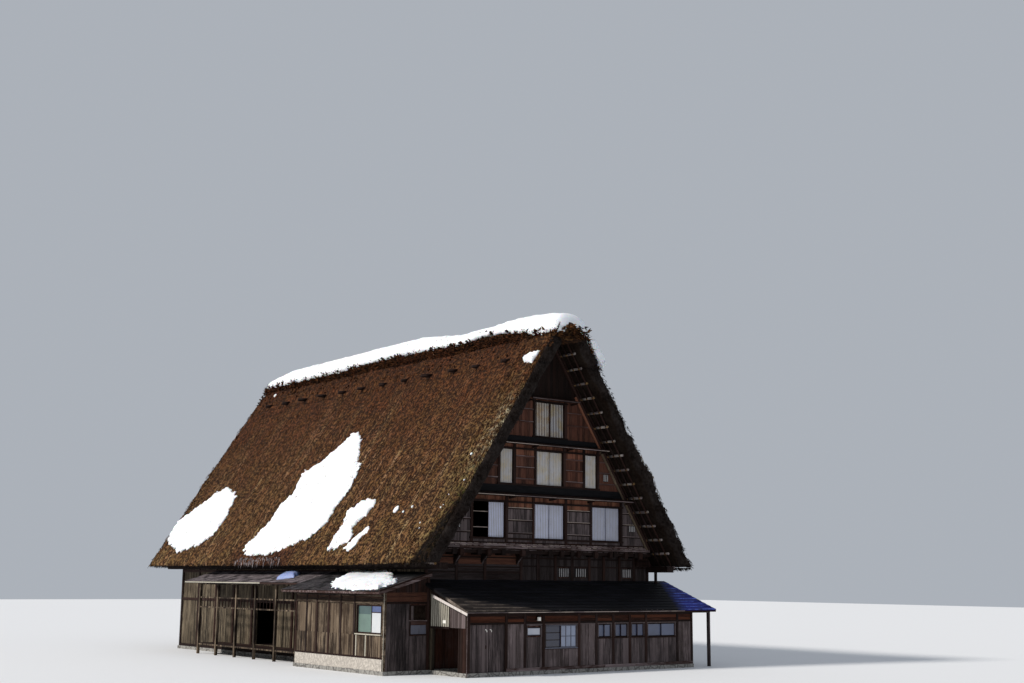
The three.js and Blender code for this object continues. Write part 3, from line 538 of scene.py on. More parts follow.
def plates(stock, start, size, columns=1, column_step=(0, 0, 0), rows=1, row_step=(0, 0, 0), turn=(0, 0, 0),
           jitter=(0, 0, 0), finish=0):
    """Adds a field of plates to a stock. start is the middle of the first plate."""
    if columns < 1 or rows < 1:
        return
    made = run_tree(plates_tree(), {
        "Columns": columns, "Rows": rows, "Start": start, "Column Step": column_step, "Row Step": row_step,
        "Plate Size": size, "Turn": turn, "Jitter": jitter, "Seed": int(RNG.integers(1, 10000))})
    stock.mesh_of(made, finish)


def upright_boards(stock, x, z, y, width, finish=0):
    """A panel of upright boards between two places along X, on the plane y and outward to -Y."""
    count = max(1, round((x[1] - x[0]) / width))
    step = (x[1] - x[0]) / count
    plates(stock, (x[0] + step / 2, y - BOARD / 2, mid(z)), (step - BOARD_GAP, BOARD, z[1] - z[0]), count,
           (step, 0, 0), jitter=(0, 0.003, 0), finish=finish)


def level_boards(stock, x, y, z, height, step, rows, finish, thickness=0.024, jitter=0.004):
    """Level boards over each other between two places along X; z is the middle of the lowest."""
    plates(stock, (mid(x), y - thickness / 2, z), (x[1] - x[0], thickness, height), rows=rows,
           row_step=(0, 0, step), jitter=(0, jitter, 0), finish=finish)


# Shader groups


def shader_group(name, inputs, outputs):
    """A new shader group, with what comes in and what goes out."""
    group = bpy.data.node_groups.new(name, "ShaderNodeTree")
    for label, kind, value in inputs:
        socket = group.interface.new_socket(label, in_out="INPUT", socket_type="NodeSocket" + kind)
        socket.default_value = value
    for label, kind in outputs:
        group.interface.new_socket(label, in_out="OUTPUT", socket_type="NodeSocket" + kind)
    return group, group.nodes.new("NodeGroupInput").outputs, group.nodes.new("NodeGroupOutput").inputs


def mapped(tree, value, low, high, to_low=0.0, to_high=1.0):
    made = add_node(tree, "ShaderNodeMapRange", (
        ("Value", value), ("From Min", low), ("From Max", high), ("To Min", to_low), ("To Max", to_high)),
        clamp=True)
    return made.outputs[0]


def mix_colour(tree, factor, a, b, blend="MIX"):
    a, b = (c if isinstance(c, bpy.types.NodeSocket) else rgba(c) for c in (a, b))
    made = add_node(tree, "ShaderNodeMix", data_type="RGBA", blend_type=blend)
    for name, value in (("Factor", factor), ("A", a), ("B", b)):
        feed(tree, enabled(made.inputs, name), value)
    return next(s for s in made.outputs if s.enabled)


def noise_of(tree, vector, scale, detail=3.0, roughness=0.55, stretch=None):
    if stretch is not None:
        vector = maths(tree, "MULTIPLY", vector, stretch, kind="VectorMath")
    made = add_node(tree, "ShaderNodeTexNoise", (
        ("Vector", vector), ("Scale", scale), ("Detail", detail), ("Roughness", roughness)))
    return made.outputs["Fac"]


def axes_of(tree, place):
    """The X, Y and Z of a place."""
    return add_node(tree, "ShaderNodeSeparateXYZ", (("Vector", place),)).outputs


@once("Wood grain")
def wood_grain_group(name):
    """Grain that runs along one way, knots of darker tone, and pale weathered streaks."""
    group, at, out = shader_group(name, (
        ("Coordinates", "Vector", (0, 0, 0)), ("Stretch", "Vector", (18, 18, 1.2)), ("Tint", "Float", 0.5),
        ("Dark", "Color", (0.05, 0.03, 0.02, 1)), ("Light", "Color", (0.15, 0.09, 0.06, 1)),
        ("Bleached", "Color", (0.25, 0.22, 0.2, 1)), ("Weather", "Float", 0.4)),
        (("Color", "Color"), ("Height", "Float")))
    moved = maths(group, "ADD", at["Coordinates"], times(group, at["Tint"], 9.0), kind="VectorMath")
    fine = noise_of(group, moved, 2.2, 5.0, 0.65, at["Stretch"])
    broad = noise_of(group, moved, 0.5, 3.0, 0.5, at["Stretch"])
    patches = noise_of(group, at["Coordinates"], 0.9, 4.0, 0.6)
    tone = maths(group, "MULTIPLY_ADD", fine, 0.9, times(group, at["Tint"], 0.42))
    wood = mix_colour(group, mapped(group, tone, 0.42, 0.92), at["Dark"], at["Light"])
    streaks = maths(group, "MULTIPLY_ADD", fine, 0.5, times(group, broad, 0.6))
    pale = times(group, mapped(group, streaks, 0.5, 0.64), mapped(group, patches, 0.36, 0.58))
    pale = maths(group, "MAXIMUM", pale, mapped(group, at["Tint"], 0.78, 1.0, 0.0, 0.7))
    pale = times(group, pale, at["Weather"], clamp=True)
    group.links.new(mix_colour(group, pale, wood, at["Bleached"]), out["Color"])
    group.links.new(maths(group, "MULTIPLY_ADD", fine, 0.7, times(group, broad, 0.3)), out["Height"])
    return group


@once("Board joints")
def board_joints_group(name):
    """Joints between boards of one width along a coordinate, and a tone for each board."""
    group, at, out = shader_group(name, (("Along", "Float", 0.0), ("Width", "Float", 0.15)),
                                  (("Board", "Float"), ("Joint", "Float")))
    place = maths(group, "DIVIDE", at["Along"], at["Width"])
    board = add_node(group, "ShaderNodeTexWhiteNoise", (("W", maths(group, "FLOOR", place)),),
                     noise_dimensions="1D")
    edge = maths(group, "PINGPONG", place, 0.5)
    group.links.new(board.outputs["Value"], out["Board"])
    group.links.new(mapped(group, edge, 0.0, 0.045, 1.0, 0.0), out["Joint"])
    return group


@once("Reed strands")
def reed_group(name):
    """Speckle and strands that run down the slope, streaks, moss by the front verge and tone by height."""
    group, at, out = shader_group(name, (("Coordinates", "Vector", (0, 0, 0)), ("Tint", "Float", 0.5)),
                                  (("Tone", "Float"), ("Streak", "Float"), ("Moss", "Float"),
                                   ("Low", "Float"), ("Ridge", "Float"), ("Moss And Highlight", "Float"),
                                   ("Verge Shade", "Float"), ("Wet And Shade", "Float")))
    place = at["Coordinates"]
    speckle = noise_of(group, place, 1.0, 2.0, 0.75, (7.5, 8.5, 7.5))
    strand = noise_of(group, place, 1.0, 4.0, 0.6, (0.9, 8.0, 0.9))
    mixed = maths(group, "MULTIPLY_ADD", strand, 0.25, times(group, speckle, 0.75))
    mixed = maths(group, "MULTIPLY_ADD", at["Tint"], 0.3, mixed)
    group.links.new(maths(group, "POWER", mapped(group, mixed, 0.592, 0.712), 1.3), out["Tone"])
    split = axes_of(group, place)
    streak = mapped(group, noise_of(group, place, 1.0, 4.0, 0.7, (0.14, 2.6, 0.14)), 0.46, 0.68)
    reach = mapped(group, split["Z"], 13.0, 8.5, 0.25, 1.0)
    group.links.new(times(group, streak, reach), out["Streak"])
    near_front = mapped(group, split["Y"], VERGE_FRONT + 2.6, VERGE_FRONT + 0.2, 0.0, 1.0)
    low = mapped(group, split["Z"], 13.4, 8.5, 0.2, 1.0)
    clump = mapped(group, noise_of(group, place, 2.0, 5.0, 0.7), 0.4, 0.62)
    group.links.new(times(group, times(group, near_front, low), clump, clamp=True),
                    out["Moss"])
    broad = noise_of(group, place, 0.35, 3.0, 0.6)
    height = mapped(group, split["Z"], 12.0, 4.2, -0.1, 0.75)
    group.links.new(maths(group, "MULTIPLY_ADD", broad, 0.5, maths(group, "SUBTRACT", height, 0.15),
                          clamp=True), out["Low"])
    group.links.new(mapped(group, split["Z"], 12.7, 13.5, 0.0, 1.0), out["Ridge"])
    # By the front verge: dark olive moss low down, and painted pale highlights above about 8 m
    verge = mapped(group, split["Y"], VERGE_FRONT + 1.1, VERGE_FRONT + 0.15)
    moss_and_highlight = mapped(group, noise_of(group, place, 3.4, 4.0, 0.7), 0.46, 0.6)
    below_top = mapped(group, split["Z"], 11.2, 10.2)
    group.links.new(times(group, times(group, verge, moss_and_highlight), below_top), out["Moss And Highlight"])
    # Painted shade at the foot of the front verge, where the thatch turns to face the front
    foot = maths(group, "MAXIMUM", maths(group, "SUBTRACT", 6.9, split["Z"]), 0.0)
    verge_shade = mapped(group, maths(group, "MULTIPLY_ADD", foot, -0.33, split["Y"]), -1.7, -1.4, 1.0, 0.0)
    group.links.new(times(group, verge_shade, mapped(group, split["Z"], 7.4, 6.4)), out["Verge Shade"])
    # Near the frosted eave on the left slope: reed that is partly wet and partly under a painted tree shadow
    along = maths(group, "ABSOLUTE", maths(group, "SUBTRACT", split["Y"], sum(FROST) / 2))
    wet_and_shade = times(group, mapped(group, along, 3.2, 2.2), mapped(group, split["Z"], 5.0, 4.6))
    left_slope = mapped(group, split["X"], 0.5, -0.5)
    group.links.new(times(group, wet_and_shade, left_slope), out["Wet And Shade"])
    return group


# Materials

# How the grain is squeezed on X, Y and Z: it runs along the axis with the small number
GRAIN_UP = (16, 16, 1.0)
LONG_GRAIN_UP = (16, 16, 0.9)
GRAIN_ACROSS = (1.0, 16, 16)
GRAIN_BACK = (16, 1.0, 16)
SHORT_GRAIN_UP = (16, 16, 1.1)
SHORT_GRAIN_ACROSS = (1.1, 16, 16)
EVEN_GRAIN = (16, 16, 16)

# Near-black colour of the joints between boards, and painted shade on poles under the roof
JOINT_AND_SHADE_BLACK = (0.006, 0.005, 0.004)


def new_material(name, roughness=0.8):
    material = bpy.data.materials.new(name)
    material.use_nodes = True
    tree = material.node_tree
    surface = tree.nodes["Principled BSDF"]
    surface.inputs["Roughness"].default_value = roughness
    surface.inputs["Specular IOR Level"].default_value = 0.15 if roughness > 0.6 else 0.5
    place = tree.nodes.new("ShaderNodeTexCoord").outputs["Object"]
    return material, tree, surface, place


def tint_of(tree):
    made = tree.nodes.new("ShaderNodeAttribute")
    made.attribute_name = "tint"
    return made.outputs["Fac"]


def placed_group(tree, group, links):
    made = tree.nodes.new("ShaderNodeGroup")
    made.node_tree = group
    for name, value in links:
        feed(tree, made.inputs[name], value)
    return made.outputs


def bump(tree, surface, height, strength, distance):
    made = add_node(tree, "ShaderNodeBump",
                    (("Height", height), ("Strength", strength), ("Distance", distance)))
    tree.links.new(made.outputs["Normal"], surface.inputs["Normal"])


def paint(tree, surface, colour):
    tree.links.new(colour, surface.inputs["Base Color"])


def shade(colour, amount):
    return tuple(min(1.0, channel * amount) for channel in colour[:3])


def rgba(colour):
    return (*colour[:3], 1.0)


def grain_of(tree, place, stretch, tint, tones, weather):
    """Wood grain in three tones: dark, light and bleached."""
    dark, light, bleached = (rgba(tone) for tone in tones)
    return placed_group(tree, wood_grain_group(), (
        ("Coordinates", place), ("Stretch", stretch), ("Tint", tint), ("Dark", dark), ("Light", light),
        ("Bleached", bleached), ("Weather", weather)))


def wood(name, dark, light, bleached, weather, stretch):
    """Sawn or squared wood whose grain runs along the axis with the small stretch."""
    material, tree, surface, place = new_material(name, 0.8)
    grain = grain_of(tree, place, stretch, tint_of(tree), (dark, light, bleached), weather)
    paint(tree, surface, grain["Color"])
    bump(tree, surface, grain["Height"], 0.6, 0.012)
    return material


def pole_finish(*tones):
    """Weathered poles, pale only where they reach past the gables, near-black under the roof as painted
    shade.
    """
    material, tree, surface, place = new_material("Tied poles", 0.8)
    grain = grain_of(tree, place, (14, 1.0, 14), tint_of(tree), tones, 0.9)
    half = (LATTICE_BACK - LATTICE_FRONT) / 2
    along = maths(tree, "SUBTRACT", axes_of(tree, place)["Y"], mid((LATTICE_FRONT, LATTICE_BACK)))
    # Painted shade: near-black along the poles under the roof, pale grain past the gables
    weathered = mapped(tree, maths(tree, "ABSOLUTE", along), half - 0.78, half - 0.55, 0.14, 1.0)
    paint(tree, surface, mix_colour(tree, weathered, JOINT_AND_SHADE_BLACK, grain["Color"]))
    bump(tree, surface, grain["Height"], 0.6, 0.012)
    return material


def board_wall(name, along, tones, weather):
    """A wall of upright boards along X or Y, drawn with their joints."""
    material, tree, surface, place = new_material(name, 0.85)
    joints = placed_group(tree, board_joints_group(),
                          (("Along", axes_of(tree, place)[along]), ("Width", 0.15)))
    grain = grain_of(tree, place, GRAIN_UP, joints["Board"], tones, weather)
    paint(tree, surface, mix_colour(tree, times(tree, joints["Joint"], 0.85), grain["Color"], JOINT_AND_SHADE_BLACK))
    height = maths(tree, "SUBTRACT", times(tree, grain["Height"], 0.35), joints["Joint"])
    bump(tree, surface, height, 0.7, 0.012)
    return material


def thatch_finish(name, reed, old, moss, bright=1.0):
    """Reed that is dark and red-brown near the ridge and golden near the eave."""
    material, tree, surface, place = new_material(name, 0.95)
    strands = placed_group(tree, reed_group(), (("Coordinates", place), ("Tint", tint_of(tree))))
    lit = mix_colour(tree, strands["Low"], shade(old, bright), shade(reed, bright))
    lit = mix_colour(tree, strands["Streak"], mix_colour(tree, 0.3, lit, shade(old, 0.3)), lit)
    golden = maths(tree, "POWER", strands["Streak"], 2.0)
    lit = mix_colour(tree, times(tree, golden, 0.6), lit, shade((0.46, 0.34, 0.21), bright))
    patches = mapped(tree, noise_of(tree, place, 1.3, 4.0, 0.65), 0.42, 0.58)
    lit = mix_colour(tree, 1.0, lit, mix_colour(tree, patches, (0.94, 0.82, 0.8), (0.84, 0.84, 0.72)),
                     "MULTIPLY")
    lit = mix_colour(tree, strands["Moss"], lit, shade(moss, 1.25 * bright))
    split = axes_of(tree, place)
    # Dark olive moss low on the verge, painted pale highlights higher up
    moss_and_highlight = mix_colour(tree, mapped(tree, split["Z"], 7.5, 8.6), (0.06, 0.062, 0.014), (0.46, 0.41, 0.28))
    lit = mix_colour(tree, strands["Moss And Highlight"], lit, moss_and_highlight)
    straw = mix_colour(tree, strands["Tone"], shade(old, 0.12), lit)
    gloom = mix_colour(tree, strands["Ridge"], (1, 1, 1), (0.8, 0.76, 0.72))
    straw = mix_colour(tree, 1.0, straw, gloom, "MULTIPLY")
    # Darker, redder reed by the frosted eave: partly wet, partly a painted tree shadow
    straw = mix_colour(tree, strands["Wet And Shade"], straw, (0.6, 0.44, 0.5), "MULTIPLY")
    # Painted shade at the foot of the front verge
    straw = mix_colour(tree, strands["Verge Shade"], straw, (0.12, 0.1, 0.1), "MULTIPLY")
    paint(tree, surface, straw)
    bump(tree, surface, strands["Tone"], 0.9, 0.05)
    return material


def cut_reed_finish(name, low, high):
    """The cut ends and the underside of the thatch."""
    material, tree, surface, place = new_material(name, 0.95)
    ends = noise_of(tree, place, 9.0, 4.0, 0.7)
    layers = noise_of(tree, place, 1.6, 3.0, 0.6)
    tone = maths(tree, "MULTIPLY_ADD", layers, 0.45, times(tree, ends, 0.6))
    paint(tree, surface, mix_colour(tree, mapped(tree, tone, 0.42, 0.68), low, high))
    bump(tree, surface, ends, 0.9, 0.05)
    return material


def snow_finish(name, snow):
    material, tree, surface, place = new_material(name, 0.55)
    soft = noise_of(tree, place, 1.3, 5.0, 0.5)
    grains = noise_of(tree, place, 40.0, 2.0, 0.5)
    colour = mix_colour(tree, mapped(tree, soft, 0.3, 0.7), shade(snow, 0.86), snow)
    thin = mapped(tree, noise_of(tree, place, 3.0, 4.0, 0.7), 0.63, 0.7, 0.0, 1.0)
    colour = mix_colour(tree, thin, colour, (0.48, 0.48, 0.5))
    specks = times(tree, mapped(tree, noise_of(tree, place, 6.0, 5.0, 0.7), 0.58, 0.66),
                   mapped(tree, noise_of(tree, place, 0.6, 2.0, 0.5), 0.44, 0.58), clamp=True)
    colour = mix_colour(tree, specks, colour, (0.2, 0.18, 0.17))
    paint(tree, surface, colour)
    surface.inputs["Subsurface Weight"].default_value = 0.15
    surface.inputs["Subsurface Scale"].default_value = 0.08
    bump(tree, surface, maths(tree, "MULTIPLY_ADD", soft, 0.8, times(tree, grains, 0.08)), 0.35, 0.08)
    return material


def paper_finish(name, colour, warm, fall=1.0):
    """Paper with a soft mottle, a warmer tone where it has aged, and a darker one to the right."""
    material, tree, surface, place = new_material(name, 0.75)
    mottle = noise_of(tree, place, 2.4, 4.0, 0.6)
    split = axes_of(tree, place)
    side = mix_colour(tree, mapped(tree, split["X"], -1.0, 4.0), (1, 1, 1), (fall, fall, fall))
    paper = mix_colour(tree, mapped(tree, mottle, 0.42, 0.7), colour, warm)
    paint(tree, surface, mix_colour(tree, 1.0, paper, side, "MULTIPLY"))
    return material


def glass_finish(name, colour, roughness):
    material, tree, surface, place = new_material(name, roughness)
    haze = noise_of(tree, place, 1.8, 3.0, 0.5)
    tree.links.new(mix_colour(tree, mapped(tree, haze, 0.3, 0.7), shade(colour, 0.75), colour),
                   surface.inputs["Base Color"])
    surface.inputs["Coat Weight"].default_value = 0.4
    surface.inputs["Coat Roughness"].default_value = 0.12
    return material


def annex_painted_light(tree, place):
    """Masks of painted sun on lichen at the lower left and of a painted blue reflection at the right end."""
    split = axes_of(tree, place)
    # Lower left: lichen in painted sunlight, bounded by a painted shadow line of the main roof
    fall = maths(tree, "MULTIPLY_ADD", split["X"], -0.345, -3.886)
    left = mapped(tree, maths(tree, "SUBTRACT", fall, split["Y"]), -0.05, 0.16)
    # Right end: a painted blue reflection of the sky
    right = mapped(tree, maths(tree, "MULTIPLY_ADD", split["Y"], -0.62, split["X"]), 6.6, 7.35)
    return left, right


def roofing_finish():
    """Near-black sheet: lichen in painted sun at the lower left, a painted blue reflection at the right."""
    material, tree, surface, place = new_material("Dark roofing", 0.65)
    base = tuple(colours().roofing)
    left, right = annex_painted_light(tree, place)
    patchy = noise_of(tree, place, 2.5, 6.0, 0.7)
    colour = mix_colour(tree, tint_of(tree), shade(base, 0.4), shade(base, 1.1))
    lichen_in_painted_sun = times(tree, left, mapped(tree, patchy, 0.36, 0.6, 0.2, 1.0))
    colour = mix_colour(tree, lichen_in_painted_sun, colour, (0.034, 0.027, 0.024))
    painted_sky_reflection = times(tree, right, mapped(tree, patchy, 0.36, 0.62, 0.4, 1.0))
    colour = mix_colour(tree, painted_sky_reflection, colour, (0.014, 0.022, 0.26))
    paint(tree, surface, colour)
    surface.inputs["Specular IOR Level"].default_value = 0.12
    bump(tree, surface, patchy, 0.25, 0.01)
    return material


def course_edge_finish():
    """The lower edges of the roof courses, black but for painted highlights in the same two corners."""
    material, tree, surface, place = new_material("Course edges", 0.8)
    left, right = annex_painted_light(tree, place)
    patchy = mapped(tree, noise_of(tree, place, 3.0, 5.0, 0.7), 0.4, 0.62, 0.3, 1.0)
    # Painted highlights on the course edges: brown in the painted sun, blue in the painted reflection
    colour = mix_colour(tree, times(tree, left, patchy), (0.003, 0.003, 0.0035), (0.19, 0.155, 0.13))
    colour = mix_colour(tree, times(tree, right, patchy), colour, (0.2, 0.3, 1.0))
    paint(tree, surface, colour)
    return material


def shingle_finish(name, tone, weathered):
    material, tree, surface, place = new_material(name, 0.85)
    patchy = noise_of(tree, place, 3.0, 6.0, 0.7)
    tone = mix_colour(tree, tint_of(tree), shade(tone, 0.12), tone)
    tone = mix_colour(tree, mapped(tree, patchy, 0.5, 0.66, 0.0, 0.6), tone, weathered)
    split = axes_of(tree, place)
    # Painted shadow of the thatch: a near-black strip along the top of the wing roof
    back = maths(tree, "MAXIMUM", maths(tree, "MULTIPLY_ADD", split["Y"], 0.16, -0.11), 0.0)
    thatch_shadow = mapped(tree, maths(tree, "SUBTRACT", split["X"], back), -6.8, -6.68)
    tone = mix_colour(tree, thatch_shadow, tone, (0.004, 0.004, 0.005))
    paint(tree, surface, tone)
    bump(tree, surface, patchy, 0.5, 0.015)
    return material


def stone_finish(name, colour, joint):
    material, tree, surface, place = new_material(name, 0.9)
    cells = tree.nodes.new("ShaderNodeTexVoronoi")
    cells.feature = "DISTANCE_TO_EDGE"
    cells.inputs["Scale"].default_value = 3.2
    tree.links.new(place, cells.inputs["Vector"])
    edge = mapped(tree, cells.outputs["Distance"], 0.0, 0.08)
    speck = noise_of(tree, place, 11.0, 5.0, 0.65)
    face = mix_colour(tree, mapped(tree, speck, 0.3, 0.7), shade(colour, 0.55), shade(colour, 1.15))
    paint(tree, surface, mix_colour(tree, edge, joint, face))
    bump(tree, surface, maths(tree, "MULTIPLY_ADD", edge, 0.8, times(tree, speck, 0.3)), 0.6, 0.02)
    return material


def painted_finish(name, colour, worn_to, roughness=0.6):
    """Old paint that wears through in streaks."""
    material, tree, surface, place = new_material(name, roughness)
    wear = noise_of(tree, place, 3.0, 6.0, 0.7, (3, 3, 0.8))
    tree.links.new(mix_colour(tree, mapped(tree, wear, 0.52, 0.68, 0.0, 0.7), colour, worn_to),
                   surface.inputs["Base Color"])
    bump(tree, surface, wear, 0.3, 0.006)
    return material


FINISH = {}


def make_finishes():
    """Every finish, by the name that the pieces use."""
    tone = colours()
    timber, grey = tuple(tone.timber), tuple(tone.grey_wood)
    reed, old, moss = tuple(tone.reed), tuple(tone.reed_dark), tuple(tone.moss)
    dark = shade(timber, 0.35)
    FINISH.update({
        "thatch": thatch_finish("Sunlit thatch", reed, old, moss, 0.96),
        "reeds": thatch_finish("Loose reed", reed, old, moss, 1.16),
        # Near-black cut ends: painted shade on the thatch's verge faces and eaves
        "cut_reed": cut_reed_finish("Cut reed ends", shade(old, 0.04), (0.028, 0.022, 0.02)),
        "frost": cut_reed_finish("Frosted reed ends", (0.12, 0.1, 0.1), (0.46, 0.42, 0.44)),
        # Near-black painted shade: the thatch's underside, and dark gaps and openings in the walls
        "painted_shade_black": cut_reed_finish("Near-black painted shade", shade(old, 0.05), (0.026, 0.018, 0.013)),
        "snow": snow_finish("Settled snow", tuple(tone.snow)),
        # Snow painted blue as shade
        "shaded_blue_snow": snow_finish("Snow painted blue as shade", (0.24, 0.31, 0.58)),
        "red_upright": wood("Red-brown boards", dark, shade(timber, 1.55), (0.11, 0.062, 0.045), 0.3,
                            SHORT_GRAIN_UP),
        "red_level": wood("Red-brown beams", dark, shade(timber, 1.4), grey, 0.3, SHORT_GRAIN_ACROSS),
        # Red boards painted as lit, brighter and more orange
        "lit_red": wood("Red boards painted as lit", shade(timber, 0.6), shade(timber, 2.9), (0.22, 0.11, 0.06),
                        0.5, SHORT_GRAIN_UP),
        "grey_upright": wood("Weathered boards", (0.024, 0.018, 0.018), shade(grey, 0.68), shade(grey, 1.6),
                             0.7, LONG_GRAIN_UP),
        "pale_upright": wood("Pale weathered boards", (0.036, 0.026, 0.024), shade(grey, 0.9),
                             shade(grey, 2.0), 0.8, LONG_GRAIN_UP),
        "shade_grey": wood("Grey boards in the shade", shade(grey, 0.08), shade(grey, 0.46),
                           shade(grey, 1.05), 0.75, LONG_GRAIN_UP),
        "grey_level": wood("Weathered sills", shade(timber, 0.4), shade(grey, 1.0), shade(grey, 2.2), 0.9,
                           GRAIN_ACROSS),
        "sun_upright": wood("Sun-bleached boards", (0.007, 0.004, 0.003), (0.05, 0.032, 0.02),
                            (0.215, 0.162, 0.112), 0.85, LONG_GRAIN_UP),
        "sun_level": wood("Sun-bleached rails", (0.008, 0.005, 0.004), (0.06, 0.038, 0.024),
                          (0.25, 0.19, 0.135), 0.8, GRAIN_BACK),
        # Boards darkened as painted shade, for the front wall's lower band
        "shade_upright": wood("Boards darkened as painted shade", shade(timber, 0.08), shade(grey, 0.34), grey, 0.12,
                              GRAIN_UP),
        "shade_level": wood("Level boards darkened as painted shade", shade(timber, 0.1), shade(grey, 0.36), grey, 0.12,
                            GRAIN_ACROSS),
        "lintel": wood("Smoked lintel boards", (0.01, 0.005, 0.003), (0.07, 0.033, 0.021),
                       (0.1, 0.065, 0.045), 0.3, GRAIN_BACK),
        "frieze": wood("Red frieze boards", (0.008, 0.002, 0.001), (0.085, 0.024, 0.01), (0.12, 0.06, 0.04),
                       0.15, GRAIN_ACROSS),
        "dark_upright": wood("Dark posts", shade(timber, 0.1), shade(timber, 0.38), grey, 0.14, GRAIN_UP),
        # Boards blackened as painted deep shade, for the top storey under the roof
        "deep_shade_upright": wood("Boards blackened as painted deep shade", shade(timber, 0.05), shade(timber, 0.2), grey, 0.04,
                              GRAIN_UP),
        "dark_level": wood("Dark beams", shade(timber, 0.08), shade(timber, 0.22), grey, 0.06, GRAIN_ACROSS),
        "dark_back": wood("Dark ridgeward beams", shade(timber, 0.1), shade(timber, 0.38), grey, 0.14,
                          GRAIN_BACK),
        "pole": pole_finish(shade(grey, 0.9), shade(grey, 2.8), (0.56, 0.51, 0.45)),
        "pitch": wood("Black beams", (0.0015, 0.0015, 0.002), (0.009, 0.008, 0.01), (0.02, 0.02, 0.024),
                      0.2, GRAIN_ACROSS),
        # Red level boards painted as lit
        "lit_level": wood("Red level boards painted as lit", shade(timber, 0.4), shade(timber, 1.5),
                          (0.13, 0.062, 0.034), 0.4, GRAIN_ACROSS),
        # Pale edges painted as highlights: ledge fronts, batten tops, dashes and the annex eave
        "edge_highlight": wood("Pale edge painted as a highlight", shade(grey, 0.9), shade(grey, 2.6), (0.5, 0.42, 0.34), 0.9,
                          GRAIN_ACROSS),
        "rope": wood("Straw rope", shade(reed, 0.3), shade(reed, 1.0), reed, 0.3, EVEN_GRAIN),
        "wall_x": board_wall("Boards facing front or back", "X", (dark, shade(timber, 1.2), grey), 0.5),
        "wall_y":
            board_wall("Boards facing the sides", "Y",
                       ((0.012, 0.009, 0.006), (0.09, 0.068, 0.045), (0.2, 0.16, 0.11)), 0.8),
        "inside": board_wall("Smoked boards inside", "X", (shade(timber, 0.1), shade(timber, 0.5), timber),
                             0.2),
        "paper": paper_finish("Screen paper", shade(tone.paper, 1.3), (0.5, 0.51, 0.6), 0.72),
        "warm_paper": paper_finish("Aged screen paper", (0.5, 0.49, 0.5), (0.5, 0.41, 0.26)),
        "dim_paper": paper_finish("Smoked screen paper", (0.6, 0.56, 0.52), (0.5, 0.33, 0.16)),
        "frosted": glass_finish("Frosted glass", (0.078, 0.098, 0.17), 0.4),
        "dark_glass": glass_finish("Dark glass", (0.025, 0.029, 0.056), 0.2),
        "dusk_glass": glass_finish("Shaded glass", (0.045, 0.058, 0.115), 0.4),
        "curtain": paper_finish("Drawn curtain", (0.5, 0.52, 0.58), (0.42, 0.45, 0.52)),
        "sun_curtain": paper_finish("Sunlit curtain", (0.55, 0.57, 0.58), (0.5, 0.53, 0.56)),
        "pale_glass": glass_finish("Pale frosted glass", (0.26, 0.3, 0.41), 0.4),
        "blue_glass": glass_finish("Blue glass", (0.06, 0.09, 0.22), 0.25),
        "green_glass": glass_finish("Green curtain behind glass", (0.115, 0.185, 0.155), 0.35),
        "deep_green_glass": glass_finish("Shaded green glass", (0.045, 0.085, 0.085), 0.3),
        "roofing": roofing_finish(),
        "shingles": shingle_finish("Grey shingles", (0.037, 0.033, 0.037), (0.085, 0.078, 0.08)),
        "pale_shingles": shingle_finish("Veranda shingles", (0.15, 0.125, 0.135), (0.27, 0.235, 0.24)),
        "stone": stone_finish("Footing stone", (0.3, 0.29, 0.27), (0.09, 0.085, 0.08)),
        "plinth": stone_finish("Rendered plinth", (0.5, 0.46, 0.41), (0.36, 0.33, 0.3)),
        "white_paint": painted_finish("White paint", (0.58, 0.53, 0.5), (0.24, 0.2, 0.17)),
        "cream_paint": painted_finish("Cream slats", (0.39, 0.365, 0.3), (0.14, 0.11, 0.09)),
        "dim_slat": painted_finish("Grey slats", (0.34, 0.33, 0.33), (0.12, 0.1, 0.09)),
        "course_edge": course_edge_finish(),
        "vent_grey": painted_finish("Grey panel", (0.1, 0.105, 0.14), (0.05, 0.048, 0.05)),
        "lamp": painted_finish("Lamp glass", (0.8, 0.78, 0.72), (0.7, 0.68, 0.62), 0.3),
    })


# Thatch


def unevenness(p):
    """How far the reed surface stands out or in at a point. It is rougher near the ridge."""
    broad = 0.045 * ripple(p.x * 0.45, p.y * 0.55, p.z * 0.45)
    ribs = 0.025 * ripple(p.x * 0.5, p.y * 2.4, p.z * 0.5 + 9)
    rough = 0.024 * noise.noise(p * 3.1) + 0.016 * noise.noise(p * 7.3)
    return broad + ribs + rough * (1 + 2.2 * min(1.0, max(0.0, (p.z - 12.7) / 0.6)))


def slab_shell(stock, counts, place, lean, finish_of):
    """A box-like shell in three parameters, u, v and w, each from 0 to 1."""
    nu, nv, nw = counts
    index = {}
    verts = []

    def at(i, j, k):
        key = (i, j, k)
        if key not in index:
            index[key] = len(verts)
            edge = sum((i in (0, nu), j in (0, nv), k in (0, nw)))
            verts.append(place(i / nu, j / nv, k / nw, lean if edge > 1 else 0.0))
        return index[key]

    faces = []
    sides = []
    for i in range(nu):
        for j in range(nv):
            for k in (0, nw):
                quad = [at(i, j, k), at(i + 1, j, k), at(i + 1, j + 1, k), at(i, j + 1, k)]
                faces.append(quad)
                sides.append(finish_of("w", k))
    for i in range(nu):
        for k in range(nw):
            for j in (0, nv):
                faces.append([at(i, j, k), at(i, j, k + 1), at(i + 1, j, k + 1), at(i + 1, j, k)])
                sides.append(finish_of("v", j))
    for j in range(nv):
        for k in range(nw):
            for i in (0, nu):
                faces.append([at(i, j, k), at(i, j + 1, k), at(i, j + 1, k + 1), at(i, j, k + 1)])
                sides.append(finish_of("u", i))
    first = len(stock.verts)
    stock.verts.extend(tuple(v) for v in verts)
    stock.faces.extend(tuple(first + i for i in face) for face in faces)
    stock.finish.extend(sides)
    stock.tint.extend([0.5] * len(faces))


